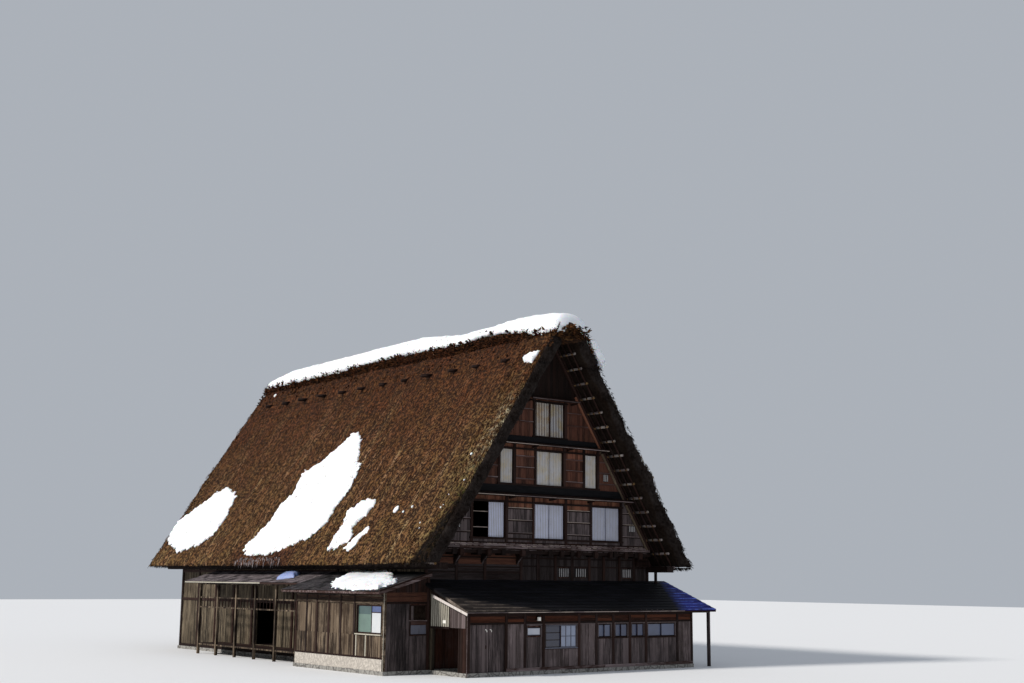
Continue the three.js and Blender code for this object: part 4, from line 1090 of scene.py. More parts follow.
def slope_place(side, z_low, z_high, y_low, y_high):
    """Places a slope's shell: u runs up from the eave, v back along the ridge, w in from the outer face."""
    outward = Vector((side * SIN, 0, COS))

    def place(u, v, w, lean):
        if v not in (0.0, 1.0) and (u == 1.0 and z_high <= SLAB_TOP or u == 0.0 and z_low >= SLAB_TOP):
            lean = 0.0
        depth = THATCH * w + (lean if w < 0.5 else -lean * 0.4)
        y = y_low + (y_high - y_low) * v
        corner = max(0.0, 1 - (y - VERGE_FRONT) / 6.0)
        z = z_low + (z_high - z_low) * u + (0.11 * corner * (1 - u) ** 12 if z_low < SLAB_TOP else 0.0)
        y += lean if v < 0.5 else -lean
        p = on_slope(side, slope_s(z, depth), depth, y)
        stand = unevenness(p)
        if v in (0.0, 1.0):
            stand += 0.09 * noise.noise(p * 1.7) + 0.05 * noise.noise(p * 4.1)
            p += Vector((0, stand * (1.6 if v else -1.6), 0))
        if w == 0.0:
            return p + outward * stand
        return p + outward * (stand * 0.3)

    return place


SHELL_FINISHES = ("thatch", "cut_reed", "painted_shade_black")


def shell_finish(axis, end):
    """Which of the shell's finishes a side has."""
    if axis == "w":
        return 2 if end else 0
    return 1 if axis == "v" or end == 0 else 0


def thatch_shell(name, side, node):
    stock = Stock()
    place = slope_place(side, EAVE_Z, SLAB_TOP, VERGE_FRONT, VERGE_BACK)
    slab_shell(stock, (60, 130, 5), place, 0.07, shell_finish)
    stock_piece(name, stock, SHELL_FINISHES, "thatch", replaces=(node,), smooth=True)


def slope_carrier(side, z_low, z_high, y_low, y_high, counts):
    """The outer face alone, to scatter reeds on."""
    place = slope_place(side, z_low, z_high, y_low, y_high)
    nu, nv = counts
    verts = [place(i / nu, j / nv, 0.0, 0.0) for i in range(nu + 1) for j in range(nv + 1)]
    faces = []
    for i in range(nu):
        for j in range(nv):
            a = i * (nv + 1) + j
            quad = (a, a + 1, a + nv + 2, a + nv + 1)
            faces.append(quad if side < 0 else quad[::-1])
    mesh = bpy.data.meshes.new("carrier")
    mesh.from_pydata(verts, [], faces)
    return mesh


def reeds_on(carrier, density, length, thickness, lie, lift, stray, salt):
    """Reeds scattered on a carrier: how many per square metre, their size, their lie and how they stray."""
    return run_tree(reeds_tree(), {"Density": density, "Length": length, "Thickness": thickness, "Lie": lie,
                                   "Lift": lift, "Stray": stray, "Seed": SEED + salt}, carrier)


def reed_piece(name, meshes, finish):
    stock = Stock()
    for mesh in meshes:
        stock.mesh_of(mesh)
    stock_piece(name, stock, (finish,), "thatch", mend=False)


def strip_carrier(points_a, points_b):
    """A ribbon between two lines of points."""
    count = len(points_a)
    faces = [(i, i + 1, count + i + 1, count + i) for i in range(count - 1)]
    mesh = bpy.data.meshes.new("carrier")
    mesh.from_pydata([tuple(p) for p in (*points_a, *points_b)], [], faces)
    return mesh


def loft(stock, rings, finish=0):
    """A closed body through rings of equal count, with a middle point closing each end."""
    count = len(rings[0])
    verts = [p for ring in rings for p in ring]
    faces = []
    for k in range(len(rings) - 1):
        for i in range(count):
            j = (i + 1) % count
            faces.append((k * count + i, k * count + j, (k + 1) * count + j, (k + 1) * count + i))
    for k in (0, len(rings) - 1):
        middle = sum((Vector(p) for p in rings[k]), Vector()) / count
        verts.append(middle)
        faces.extend((len(verts) - 1, k * count + i, k * count + (i + 1) % count) for i in range(count))
    stock.solid(verts, faces, finish, 0.5)


def ridge_roll(stock):
    """The roll of reed along the ridge, knobbly from its bundled ends and rounded off at both ends."""
    base, half, top = ROLL["base"], ROLL["half"], CAP_HIGH.z - 0.02
    y0, y1 = CAP_LOW.y + 0.06, CAP_HIGH.y - 0.06
    steps, around = 190, 34
    rings = []
    for k in range(steps + 1):
        y = y0 + (y1 - y0) * k / steps
        near = min(y - y0, y1 - y)
        full = min(1.0, 0.55 + 0.45 * math.sqrt(min(1.0, near / 0.3)))
        ring = []
        for i in range(around):
            turn = 2 * math.pi * i / around
            rise = math.sin(turn)
            x = half * full * math.cos(turn) * (1.0 if rise > 0 else 0.75)
            z = base + ((top - base) * full if rise > 0 else ROLL["low"]) * rise
            p = Vector((x, y, z))
            clump = 0.11 * noise.noise(p * 2.2) + 0.1 * noise.noise(p * 5.5) + 0.05 * noise.noise(p * 12.0)
            ring.append(p + Vector((math.cos(turn), 0, max(0.0, rise))) * (clump - 0.03))
        rings.append(ring)
    loft(stock, rings)


def roll_half(z):
    """Half the roll's width at a height."""
    return ROLL["half"] * math.sqrt(max(0.1, 1 - ((z - ROLL["base"]) / (CAP_HIGH.z - ROLL["base"])) ** 2))


def ridge_knots(stock):
    """Knots of reed that stand out past the snow's lower edge along both flanks."""
    knots, ends = 330, 4
    for side in (-1, 1):
        for k in range(knots):
            y = CAP_LOW.y + 0.1 + (CAP_HIGH.y - CAP_LOW.y - 0.3) * RNG.random()
            if k % 3:
                z = at_place(SNOW_EDGE, y) + RNG.uniform(-0.3, 0.18)
                root = Vector((side * (roll_half(z) + 0.05), y, z))
            else:
                z = RNG.uniform(12.75, 13.45)
                root = on_slope(side, slope_s(z), 0.0, y)
            for _ in range(ends):
                way = Vector((side * RNG.uniform(0.5, 1.0), RNG.uniform(-0.6, 0.6), RNG.uniform(-0.2, 0.9)))
                reach = RNG.uniform(0.07, 0.07 + 0.14 * (k % 3 > 0))
                stock.pole(root, root + way * reach, 0.046, 5, 0, end_radius=0.018)
        for y in STANDING_KNOTS:
            z = at_place(SNOW_EDGE, y)
            root = Vector((side * (roll_half(z) + 0.04), y, z - 0.02))
            for lean in (-0.5, -0.1, 0.4):
                tip = root + Vector((side * 0.15, 0.1 * lean, 0.11 + 0.04 * lean))
                stock.pole(root, tip, 0.035, 5, 3, end_radius=0.055)


def cap_skirt(stock, side):
    place = slope_place(side, SLAB_TOP, 13.55, VERGE_FRONT, VERGE_BACK)
    slab_shell(stock, (10, 190, 5), place, 0.07, shell_finish)


def ridge_rods(stock):
    """Short poles that stick out of the thatch under the ridge, in pairs that cross."""
    z = RODS["height"]
    for k in range(RODS["count"]):
        for side in (-1, 1):
            y = RODS["first"] + k * RODS["run"] / (RODS["count"] - 1) + RNG.uniform(-0.1, 0.1)
            inner, outer = half_width(z) - 0.25, CAP_HIGH.x + 0.12 - 0.24 * RNG.random()
            drop = 0.05 * RNG.random()
            stock.pole((side * inner, y, z), (side * outer, y + 0.04, z - drop), 0.062, 7, 3)
            stock.pole((side * (inner + 0.22), y - 0.1, z + 0.06),
                       (side * (outer - 0.06), y + 0.14, z + 0.04), 0.046, 6, 3)


def build_thatch():
    thatch_shell("thatch_left_reed", -1, "thatch_left")
    thatch_shell("thatch_right_reed", 1, "thatch_right")
    stock = Stock()
    ridge_roll(stock)
    ridge_knots(stock)
    cap_skirt(stock, -1)
    cap_skirt(stock, 1)
    ridge_rods(stock)
    stock_piece("ridge_cap_reed", stock, (*SHELL_FINISHES, "dark_level"), "thatch", replaces=("ridge_cap",),
                smooth=True)


def verge_lines(side, y, z_low, z_high, count=60):
    """The outer and inner lines of a verge face."""
    heights = [z_low + (z_high - z_low) * i / count for i in range(count + 1)]
    outer = [on_slope(side, slope_s(z, 0.02), 0.02, y) for z in heights]
    inner = [on_slope(side, slope_s(z, THATCH * 0.9), THATCH * 0.9, y) for z in heights]
    return outer, inner


def build_reeds():
    """Loose reeds on both slopes, along the verges and the ridge, and frosted ones at the eave."""
    size = sizes()
    for side, name in ((-1, "left"), (1, "right")):
        down = (side * COS, 0, -SIN)
        field = slope_carrier(side, EAVE_Z + 0.15, 13.0, VERGE_FRONT + 0.02, VERGE_BACK - 0.02, (40, 90))
        field = reeds_on(field, size.reed_density, size.reed_length, 0.011, down, 0.3, 0.32, side)
        reed_piece(f"loose_reeds_{name}", [field], "reeds")
    shaggy = []
    for side in (-1, 1):
        for y, way, width in ((VERGE_FRONT, -1, 1.5), (VERGE_BACK, 1, 0.5)):
            edge = slope_carrier(side, EAVE_Z + 0.05, 13.3, y - way * 0.05, y - way * width, (40, 4))
            if way > 0:
                edge.flip_normals()
            shaggy.append(reeds_on(edge, 190.0, 0.22, 0.014, (side * COS, way * 0.03, -SIN), 0.18, 0.3,
                                   20 + side + way))
    reed_piece("verge_reeds", shaggy, "reeds")
    reed_piece("cut_reed_edges", edge_reeds(), "cut_reed")
    reed_piece("ridge_reeds", ridge_tufts(), "reeds")
    frosted = np.linspace(FROST[0], FROST[1], 30)
    outer, inner = ([on_slope(-1, slope_s(EAVE_Z + up), -0.04, y) for y in frosted] for up in (0.36, 0.08))
    tips = reeds_on(strip_carrier(outer, inner), 75.0, 0.26, 0.014, (-0.12, 0, -1), 0.05, 0.07, 70)
    reed_piece("frosted_eave_reeds", [tips], "frost")


def edge_reeds():
    """Short ends that stand out of the verge faces and hang from the eaves."""
    edges = []
    for side in (-1, 1):
        for y, way in ((VERGE_FRONT - 0.01, -1), (VERGE_BACK + 0.01, 1)):
            outer, inner = verge_lines(side, y, EAVE_Z + 0.1, 13.6)
            edges.append(reeds_on(strip_carrier(outer, inner), 150.0, 0.13, 0.018,
                                  (side * 0.5, way * 0.5, -0.8), 0.0, 0.45, 40 + side + way))
        eave_y = np.linspace(VERGE_FRONT + 0.05, VERGE_BACK - 0.05, 90)
        outer = [on_slope(side, slope_s(EAVE_Z + 0.08, 0.03), 0.03, y) for y in eave_y]
        inner = [on_slope(side, slope_s(EAVE_Z + 0.03, THATCH * 0.8), THATCH * 0.8, y) for y in eave_y]
        edges.append(reeds_on(strip_carrier(outer, inner), 200.0, 0.18, 0.014, (side * COS, 0, -SIN), 0.0,
                              0.3, 60 + side))
    return edges


def ridge_tufts():
    """Bundle ends along both flanks of the ridge and over its two ends."""
    tufts = []
    for side in (-1, 1):
        for salt, (low, high, density) in enumerate((((1.16, 12.95), (0.98, 13.32), 150.0),
                                                     ((0.92, 13.42), (0.7, 13.98), 330.0))):
            lines = [[Vector((side * x, y, z)) for y in np.linspace(CAP_LOW.y + 0.12, CAP_HIGH.y - 0.12,
                120)] for x, z in (low, high)]
            tufts.append(reeds_on(strip_carrier(*lines), density, 0.15, 0.034, (side * 0.8, 0, -0.25), 0.0,
                                  0.6, 80 + side + 5 * salt))
    for y, way in ((CAP_LOW.y + 0.08, -1), (CAP_HIGH.y - 0.08, 1)):
        across = np.linspace(-0.7, 0.7, 12)
        low = [Vector((x, y, 13.36)) for x in across]
        high = [Vector((x, y, 13.42 + 0.55 * math.sqrt(max(0, 1 - (x / 0.78) ** 2)))) for x in across]
        tufts.append(reeds_on(strip_carrier(low, high), 330.0, 0.13, 0.032, (0, way * 0.9, -0.4), 0.0, 0.45,
                              90 + way))
    return tufts


# Snow


def inside_distance(u, v, corners):
    """Signed distance from points to a closed outline, positive inside."""
    pts = np.array(corners)
    nxt = np.roll(pts, -1, axis=0)
    best = np.full(u.shape, 1e9)
    inside = np.zeros(u.shape, bool)
    for (ax, ay), (bx, by) in zip(pts, nxt):
        length = (bx - ax) ** 2 + (by - ay) ** 2
        t = np.clip(((u - ax) * (bx - ax) + (v - ay) * (by - ay)) / length, 0, 1)
        best = np.minimum(best, np.hypot(u - ax - t * (bx - ax), v - ay - t * (by - ay)))
        crosses = (ay > v) != (by > v)
        with np.errstate(divide="ignore", invalid="ignore"):
            reach = (bx - ax) * (v - ay) / (by - ay) + ax
        inside ^= crosses & (u < reach)
    return np.where(inside, best, -best)


def snow_sheet(corners, cell, depth, ragged, place, salt, holes=()):
    """Snow over an outline in two surface coordinates, thick inside and thin at its ragged edge."""
    pts = np.array(corners)
    low, high = pts.min(0) - ragged - cell, pts.max(0) + ragged + cell
    us, vs = np.arange(low[0], high[0], cell), np.arange(low[1], high[1], cell)
    grid_u, grid_v = np.meshgrid(us, vs, indexing="ij")

    def ripples(scale, offset):
        return np.array([[ripple(u * scale, v * scale, salt + offset) for v in vs] for u in us])

    reach = inside_distance(grid_u, grid_v, corners)
    reach += ragged * (0.6 * ripples(1.6, 0) + 0.7 * ripples(4.2, 5) + 0.9 * ripples(9.0, 7))
    for u, v, radius in holes:
        reach = np.minimum(reach, np.hypot(grid_u - u, grid_v - v) - radius)
    rise = np.clip(reach / 0.3, 0, 1)
    thick = depth * np.sqrt(rise * (2 - rise)) * (1 + 0.3 * ripples(0.9, 9) + 0.15 * ripples(3.4, 11))
    slope_u, slope_v = np.gradient(reach, cell)
    steep = np.maximum(np.hypot(slope_u, slope_v), 0.4)
    shift = np.where(reach > 0, 0, np.clip(-reach / steep, 0, cell * 0.9)) / steep
    moved_u, moved_v = grid_u + slope_u * shift, grid_v + slope_v * shift
    return sheet_mesh(reach > 0, lambda c, lift: place(moved_u[c], moved_v[c], lift), thick)


def sheet_mesh(kept, point, thick):
    """A closed sheet over the cells that touch the kept corners."""
    shape = bmesh.new()
    tops, bottoms = {}, {}
    for i in range(kept.shape[0] - 1):
        for j in range(kept.shape[1] - 1):
            cells = ((i, j), (i + 1, j), (i + 1, j + 1), (i, j + 1))
            if not any(kept[c] for c in cells):
                continue
            for c in cells:
                if c not in tops:
                    tops[c] = shape.verts.new(point(c, float(thick[c]) if kept[c] else 0.0))
                    bottoms[c] = shape.verts.new(point(c, -0.03))
            shape.faces.new([tops[c] for c in cells])
            shape.faces.new([bottoms[c] for c in reversed(cells)])
    pair = {tops[c]: bottoms[c] for c in tops}
    for e in [e for e in shape.edges if e.is_boundary]:
        a, b = e.verts
        if a in pair and b in pair:
            shape.faces.new((a, b, pair[b], pair[a]))
    bmesh.ops.recalc_face_normals(shape, faces=shape.faces)
    mesh = bpy.data.meshes.new("snow")
    shape.to_mesh(mesh)
    shape.free()
    return mesh


def snow_drift(node, mesh):
    """Lays a sheet of snow in the place of a plain node."""
    mesh.materials.append(FINISH["snow"])
    add_piece(f"{node}_drift", mesh, "snow", smooth=True, replaces=(node,))


def build_snow():
    """Snow on the slopes, the ridge, the wing and the veranda."""
    depth = sizes().snow_depth

    def on_wing(u, v, lift):
        return Vector((u, v, wing_roof_z(u) + 0.035 + lift))

    def on_side(side):
        return lambda u, v, lift: on_slope(side, slope_s(v), -lift - 0.025, u)

    for salt, (name, corners) in enumerate(SLOPE_SNOW.items()):
        snow_drift(name, snow_sheet(corners, 0.07, depth, 0.2, on_side(-1), 3.0 * salt,
                                    MELTED if salt == 0 else ()))
    stock = Stock()
    stock.mesh_of(snow_sheet(SNOW_STRIP, 0.05, depth * 0.6, 0.1, on_side(-1), 12.0))
    stock.mesh_of(snow_sheet(VERGE_SCRAP, 0.05, 1.8 * depth, 0.08, on_side(-1), 15.0))
    stock.mesh_of(snow_sheet(RIGHT_SCRAP, 0.05, 4.0 * depth, 0.08, on_side(1), 18.0))
    for salt, (u, v, radius) in enumerate(CRUMBS):
        ring = [(u + radius * math.cos(0.8 * k), v + radius * math.sin(0.8 * k)) for k in range(8)]
        stock.mesh_of(snow_sheet(ring, 0.03, 0.06, 0.3 * radius, on_side(-1), 20.0 + salt))
    # The veranda's snow is painted blue as shade under the eave
    stock.mesh_of(snow_sheet(VERANDA_SNOW, 0.06, 0.2, 0.05, on_wing, 41.0), 1)
    stock_piece("snow_scraps", stock, ("snow", "shaded_blue_snow"), "snow", smooth=True)
    snow_drift("wing_snow", snow_sheet(WING_SNOW, 0.06, 0.12, 0.22, on_wing, 31.0))
    stock = Stock()
    ridge_snow(stock)
    stock_piece("ridge_snow_drift", stock, ("snow",), "snow", replaces=("ridge_snow",), smooth=True)


def ridge_snow(stock):
    """Snow along the ridge, with a crest and a lower edge that wander."""
    y0, y1 = CAP_LOW.y + 0.1, CAP_HIGH.y - 0.2
    steps, around = 260, 28
    rings = []
    for k in range(steps + 1):
        y = y0 + (y1 - y0) * k / steps
        near = min(y - y0, y1 - y)
        full = math.sqrt(min(1.0, near / 0.22)) * 0.8 + 0.2
        low = at_place(SNOW_EDGE, y) + 0.05 * ripple(y * 2.1, 3, 0)
        low += 0.11 * ripple(y * 4.5, 7, 0) + 0.07 * ripple(y * 11.0, 5, 0)
        top = at_place(SNOW_CREST, y) + 0.02 * ripple(y * 1.7, 0, 0)
        half = roll_half(low)
        ring = []
        for i in range(around):
            turn = 2 * math.pi * i / around
            across, rise = math.cos(turn), math.sin(turn)
            if rise >= 0:
                x = (half + 0.09) * math.copysign(abs(across) ** 0.75, across) * (0.7 + 0.3 * full)
                z = low + (top - low) * full * rise ** 0.8
            else:
                x, z = half * 0.8 * across, low + 0.06 * rise
            lump = 0.03 * ripple(x * 3, y * 2.5, z * 2)
            ring.append(Vector((x + lump * across, y, z + lump * max(0.0, rise))))
        rings.append(ring)
    loft(stock, rings)


# Gables


def gable_posts(storey):
    """Posts beside each window of a storey."""
    inset = sizes().post_width / 2
    return sorted(x + sign * (width / 2 + inset) for x, width in storey["windows"] for sign in (-1, 1))


def sloped_boards(stock, side, x_from, foot, head, y, finish):
    """Upright boards of a storey's end panel, cut off along the roof's slope."""
    width = sizes().board_width
    depth = THATCH + 0.11
    limit = half_width(foot, depth)
    x = x_from
    while x < limit - 0.02:
        x1 = min(x + width, limit)
        tops = [min(head, APEX_Z - (place + depth / SIN) * math.tan(PITCH)) for place in (x, x1 - BOARD_GAP)]
        if tops[0] > foot + 0.02:
            out = y - BOARD + 0.006 * RNG.random()
            outline = [(side * x, foot), (side * (x1 - BOARD_GAP), foot),
                       (side * (x1 - BOARD_GAP), max(foot, tops[1])), (side * x, tops[0])]
            stock.prism(outline, "y", (out, 0.0), finish)
        x = x1


def batten(stock, span, z, level):
    """A thin batten with a painted highlight along its upper edge."""
    stock.box(span, (-0.045, -0.005), (z - 0.035, z + 0.012), 3 if level == 0 else 4)
    stock.box(span, (-0.055, -0.01), (z + 0.012, z + 0.034), 7 if level == 0 else 9)


def panel_rows(stock, span, storey, level):
    """Rows of short upright boards in one panel, parted by battens with painted highlights on their upper
    edges.
    """
    heights = (storey["head"], *storey["battens"], storey["beam"])
    for row, (head, foot) in enumerate(zip(heights, heights[1:])):
        # The top row, under the ledge, is in red boards painted as lit
        finish = 8 if row == 0 else (2 if level == 0 else 0)
        upright_boards(stock, span, (foot + 0.012, head - 0.012), 0.0, sizes().board_width, finish)
        if row:
            batten(stock, span, head, level)


def storey_boards(stock, storey, level):
    """Boards, battens and posts of one storey, on the gable's own plane."""
    size = sizes()
    foot, head, beam = storey["foot"], storey["head"], storey["beam"]
    posts = gable_posts(storey)
    finish = 0 if level > 0 else 2
    half_post = size.post_width / 2
    # The top storey, without windows, is in boards blackened as painted deep shade
    if not posts:
        for side in (-1, 1):
            sloped_boards(stock, side, 0.0, foot, head, 0.0, 11)
        return
    for x in posts:
        stock.box(about(x, half_post), (-0.065, 0.0), (beam, head), 1)
    for left, right in zip(posts[1:-1:2], posts[2::2]):
        panel_rows(stock, (left + half_post, right - half_post), storey, level)
    for x, width in storey["windows"]:
        span = about(x, width / 2)
        if storey["sill"] - beam > 0.12:
            upright_boards(stock, span, (beam, storey["sill"] - 0.05), 0.0, size.board_width, finish)
        # Boards over a window are in red boards painted as lit
        if head - storey["top"] > 0.12:
            upright_boards(stock, span, (storey["top"] + 0.06, head), 0.0, size.board_width, 8)
    for side in (-1, 1):
        start = posts[-1] + half_post
        sloped_boards(stock, side, start, beam, head, 0.0, finish)
        for z in storey["battens"]:
            reach = half_width(z + 0.03, THATCH + 0.12)
            if reach > start + 0.1:
                batten(stock, sorted((side * start, side * reach)), z, level)
    if level > 0:
        reach = half_width(beam, THATCH + 0.13)
        stock.box((-reach, reach), (-0.075, 0.0), (foot, beam), 10)


def edge_rafter(stock, side):
    """The sloping board that closes the wall against the roof, and the redder one beside it, painted as lit.
    """
    foot, tip, depth = 4.86, 13.35, THATCH + 0.2
    stock.bar((side * half_width(foot, depth), -0.05, foot), (side * half_width(tip, depth), -0.05, tip),
              0.1, 0.13, 1, up=(0, 1, 0))
    depth = THATCH + 0.31
    for low, high, finish in ((foot, 9.05, 5), (9.05, 11.2, 8)):
        stock.bar((side * half_width(low, depth), -0.07, low), (side * half_width(high, depth), -0.07, high),
                  0.09, 0.06, finish, up=(0, 1, 0))


def slatted_vent(stock, x, z, width, height, slats, y=0.0):
    stock.box(about(x, width / 2), (y - 0.03, y), about(z, height / 2), 3, 0.1)
    for i in range(slats):
        at = x + width * ((i + 0.5) / slats - 0.5)
        stock.box(about(at, 0.022), (y - 0.045, y - 0.02), (z - height / 2 + 0.02, z + height / 2 - 0.02), 6)


def joist_nose(stock, x):
    """A carved joist end under the sill, hooked down over the wall below."""
    outline = [(0.3, 4.74), (-0.1, 4.74), (-0.155, 4.68), (-0.165, 4.58), (-0.14, 4.47), (-0.09, 4.44),
               (-0.04, 4.5), (0.06, 4.53), (0.3, 4.53)]
    stock.prism(outline, "x", about(x, 0.095), 1)


def gable_face(name, place):
    """Boards, posts, battens, sills and joist ends of one gable."""
    stock = Stock()
    for level, storey in enumerate(STOREYS):
        storey_boards(stock, storey, level)
    for side in (-1, 1):
        edge_rafter(stock, side)
    reach = half_width(4.88, THATCH + 0.12)
    stock.box((-reach, reach), (-0.045, 0.0), (4.74, 4.985), 3)
    board, highlight_dash = 1.15, 0.3
    plates(stock, (-reach + board / 2, -0.055, 4.8), (board - 0.02, BOARD, 0.085), round(2 * reach / board),
           (board, 0, 0), rows=2, row_step=(0, 0, 0.105), jitter=(0.01, 0.004, 0.004), finish=9)
    # Dashed pale lines along the band are painted highlights
    for z, width, finish in ((4.705, 0.24, 9), (4.865, 0.2, 7), (4.945, 0.22, 7)):
        plates(stock, (-reach + highlight_dash / 2, -0.07, z), (width, 0.02, 0.016), round(2 * reach / highlight_dash),
               (highlight_dash, 0, 0), jitter=(0.05, 0, 0.004), finish=finish)
    stock.box((-reach - 0.05, reach + 0.05), (-0.03, 0.12), (4.56, 4.7), 3)
    for x in JOIST_XS:
        joist_nose(stock, x)
    for vent in GABLE_VENTS:
        slatted_vent(stock, *vent)
    names = ("red_upright", "dark_upright", "grey_upright", "dark_level", "red_level", "sun_upright",
             "dim_slat", "edge_highlight", "lit_red", "grey_level", "pitch", "deep_shade_upright")
    stock_piece(f"{name}_gable_boards", stock, names, "boards", place, bevel=0.004)


def screen_window(stock, x, width, sill, top, open_left=False, warm=False, smoked=False):
    """A framed window with two sliding paper screens."""
    bar = 0.014
    x0, x1 = x - width / 2, x + width / 2
    sill, top = sill - 0.02, top + 0.02
    stock.frame((x0, x1), (sill, top), (bar, bar), ((-0.04, 0.11), (-0.035, 0.11)), (0, 1))
    inner = (x0 + bar, x1 - bar, sill + bar, top - bar)
    half = (inner[1] - inner[0]) / 2
    parts = 2 if width > 1.0 else 1
    for i in range(parts):
        if open_left and i == 0:
            continue
        left = inner[0] + (half * i if parts == 2 else 0)
        right = left + (half if parts == 2 else 2 * half)
        depth = 0.015 + 0.03 * i
        stile = 0.02
        sash = (depth - 0.012, depth + 0.02)
        stock.frame((left, right), inner[2:], (stile, 0.022), (sash, sash), (0, 1))
        stock.box((left + 0.01, right - 0.01), (depth + 0.008, depth + 0.014),
                  (inner[2] + 0.01, inner[3] - 0.01), 3 if warm and i == 0 else 2)
        step = sizes().screen_bar_step
        count = int((right - left - 2 * stile) / step)
        first = (left + right) / 2 - step * (count - 1) / 2
        slat, finish = (0.034, 0) if smoked else (0.019, 4)
        plates(stock, (first, depth + 0.003, (inner[2] + inner[3]) / 2),
               (slat, 0.01, inner[3] - inner[2] - 0.05), count, (step, 0, 0), finish=finish)
    if smoked:
        stock.box(about(x, 0.035), (-0.01, 0.03), inner[2:], 0)
    if open_left:
        for z in (sill + 0.4, sill + 1.02):
            stock.box((inner[0], inner[0] + half), (0.06, 0.085), (z, z + 0.025), 5)


def window_row(name, level, place):
    """One attic storey's row of windows."""
    storey = STOREYS[level]
    stock = Stock()
    sill, top = storey["sill"], storey["top"]
    for i, (x, width) in enumerate(storey["windows"]):
        screen_window(stock, x, width, sill, top, name == "front" and level == 0 and i == 0, level > 0,
                      level > 1)
    end = storey["windows"][-1][0] + storey["windows"][-1][1] / 2 + 0.16
    for z in (sill - 0.075, top - 0.005):
        stock.box((-end, end), (-0.075, 0.0), (z, z + 0.075), 1)
    papers = (("paper", "paper"), ("warm_paper", "warm_paper"), ("warm_paper", "dim_paper"))[level]
    names = ("dark_upright", "dark_level", *papers, "dim_slat", "edge_highlight")
    stock_piece(f"{name}_screens_{level + 1}", stock, names, "paper_screens", place,
                replaces=(f"{name}_windows_{level + 1}",))


def ledge(name, level, place):
    """A narrow board roof over a window row, on brackets, with a pale front edge painted as a highlight."""
    low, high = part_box(f"front_ledge_{level + 1}")
    stock = Stock()
    reach, drop = 0.47, 0.11
    board, edge_piece, arm_spacing, arm_end = 0.42, 2.1, 1.6, 0.12
    left, right, top = low.x, high.x, high.z
    tilt = math.atan(drop / reach)
    length = math.hypot(drop, reach)
    boards = round((right - left) / board)
    step = (right - left) / boards
    plates(stock, (left + step / 2, -reach / 2, top - drop / 2 - 0.012), (step - 0.006, length, 0.024),
           boards, (step, 0, 0), turn=(tilt, 0, 0), jitter=(0, 0.012, 0.003), finish=0)
    pieces = max(3, round((right - left) / edge_piece))
    width = (right - left) / pieces
    for i in range(pieces):
        sag = 0.014 * (RNG.random() - 0.5)
        stock.box((left + i * width + 0.01, left + (i + 1) * width - 0.01), (-reach - 0.012, -reach + 0.03),
                  (top - drop - 0.046 + sag, top - drop - 0.022 + sag), 1)
    for y, z in ((-0.05, top - 0.055), (-reach + 0.07, top - drop - 0.048)):
        stock.pole((left + 0.05, y, z), (right - 0.05, y, z), 0.026, 6, 2)
    arms = max(2, round((right - left) / arm_spacing))
    for i in range(arms):
        x = left + arm_end + (right - left - 2 * arm_end) * i / (arms - 1)
        stock.prism([(0, top - 0.26), (0, top - 0.16), (-reach + 0.03, top - drop - 0.065),
                     (-reach + 0.03, top - drop - 0.1)], "x", about(x, 0.03), 3)
    names = ("dark_back", "grey_level" if level == 2 else "edge_highlight", "dark_level", "dark_back")
    stock_piece(f"{name}_shelter_{level + 1}", stock, names, "timber", place,
                replaces=(f"{name}_ledge_{level + 1}",), bevel=0.003)


def curved_bracket(stock, x, foot, head):
    """A bent timber that carries the jetty, paler along its face."""
    y = FRONT_FACE
    bow = [(y - 0.36 * math.sin(0.5 * math.pi * t) ** 2, foot + (head - foot) * t) for t in
           (0, 0.3, 0.55, 0.75, 1)]
    stock.prism([(y + 0.01, foot), *bow[1:], (y + 0.01, head)], "x", about(x, 0.085), 3)
    for (y0, z0), (y1, z1) in zip(bow, bow[1:]):
        stock.bar((x, y0 - 0.012, z0), (x, y1 - 0.012, z1), 0.06, 0.03, 2, up=(0, 1, 0.3))


def lower_band(stock):
    """Posts, rails and boards of the front wall above the annex roof, most boards in painted shade."""
    y = FRONT_FACE
    low, high = 3.42, 4.56
    half_post, half_rail = 0.065, 0.028
    level_until = -1.3
    vents, vent_low, vent_high = (1.1, 1.95, 4.68), 3.62, 4.08
    posts = (-5.92, -4.48, -3.08, -1.22, -0.33, 0.61, 1.54, 2.51, 3.34, 4.25, 5.12, 5.93)
    brackets = ((-4.55, 4.05), (-3.2, 4.13), (-1.4, 4.1))
    for x in posts:
        stock.box(about(x, half_post), (y - 0.06, y), (low, high), 1)
    for left, right in zip(posts, posts[1:]):
        span = (left + half_post, right - half_post)
        vent = any(span[0] < middle < span[1] for middle in vents)
        if left < level_until:
            # At the left, four lower rows darkened as painted shade and two upper rows painted as lit
            for base, rows, finish in ((low + 0.09, 4, 4), (low + 0.802, 2, 5)):
                level_boards(stock, span, y, base, 0.17, 0.178, rows, finish)
        elif not vent:
            upright_boards(stock, span, (low, high), y, 0.14, 0)
        for z in (4.4, 4.03, 3.83) if left < level_until else (4.4, vent_high):
            stock.box(span, (y - 0.045, y), about(z, half_rail), 3)
        if vent:
            middle, width = mid(span), span[1] - span[0]
            slatted_vent(stock, middle, 3.84, width - 0.22, 0.38, 5, y)
            upright_boards(stock, span, (vent_high, high), y, 0.2, 0)
            upright_boards(stock, span, (low, vent_low), y, 0.14, 0)
            for edge in (span[0] + 0.055, span[1] - 0.055):
                stock.box(about(edge, 0.055), (y - BOARD, y), (vent_low, vent_high), 0)
    for x, foot in brackets:
        curved_bracket(stock, x, foot, high)


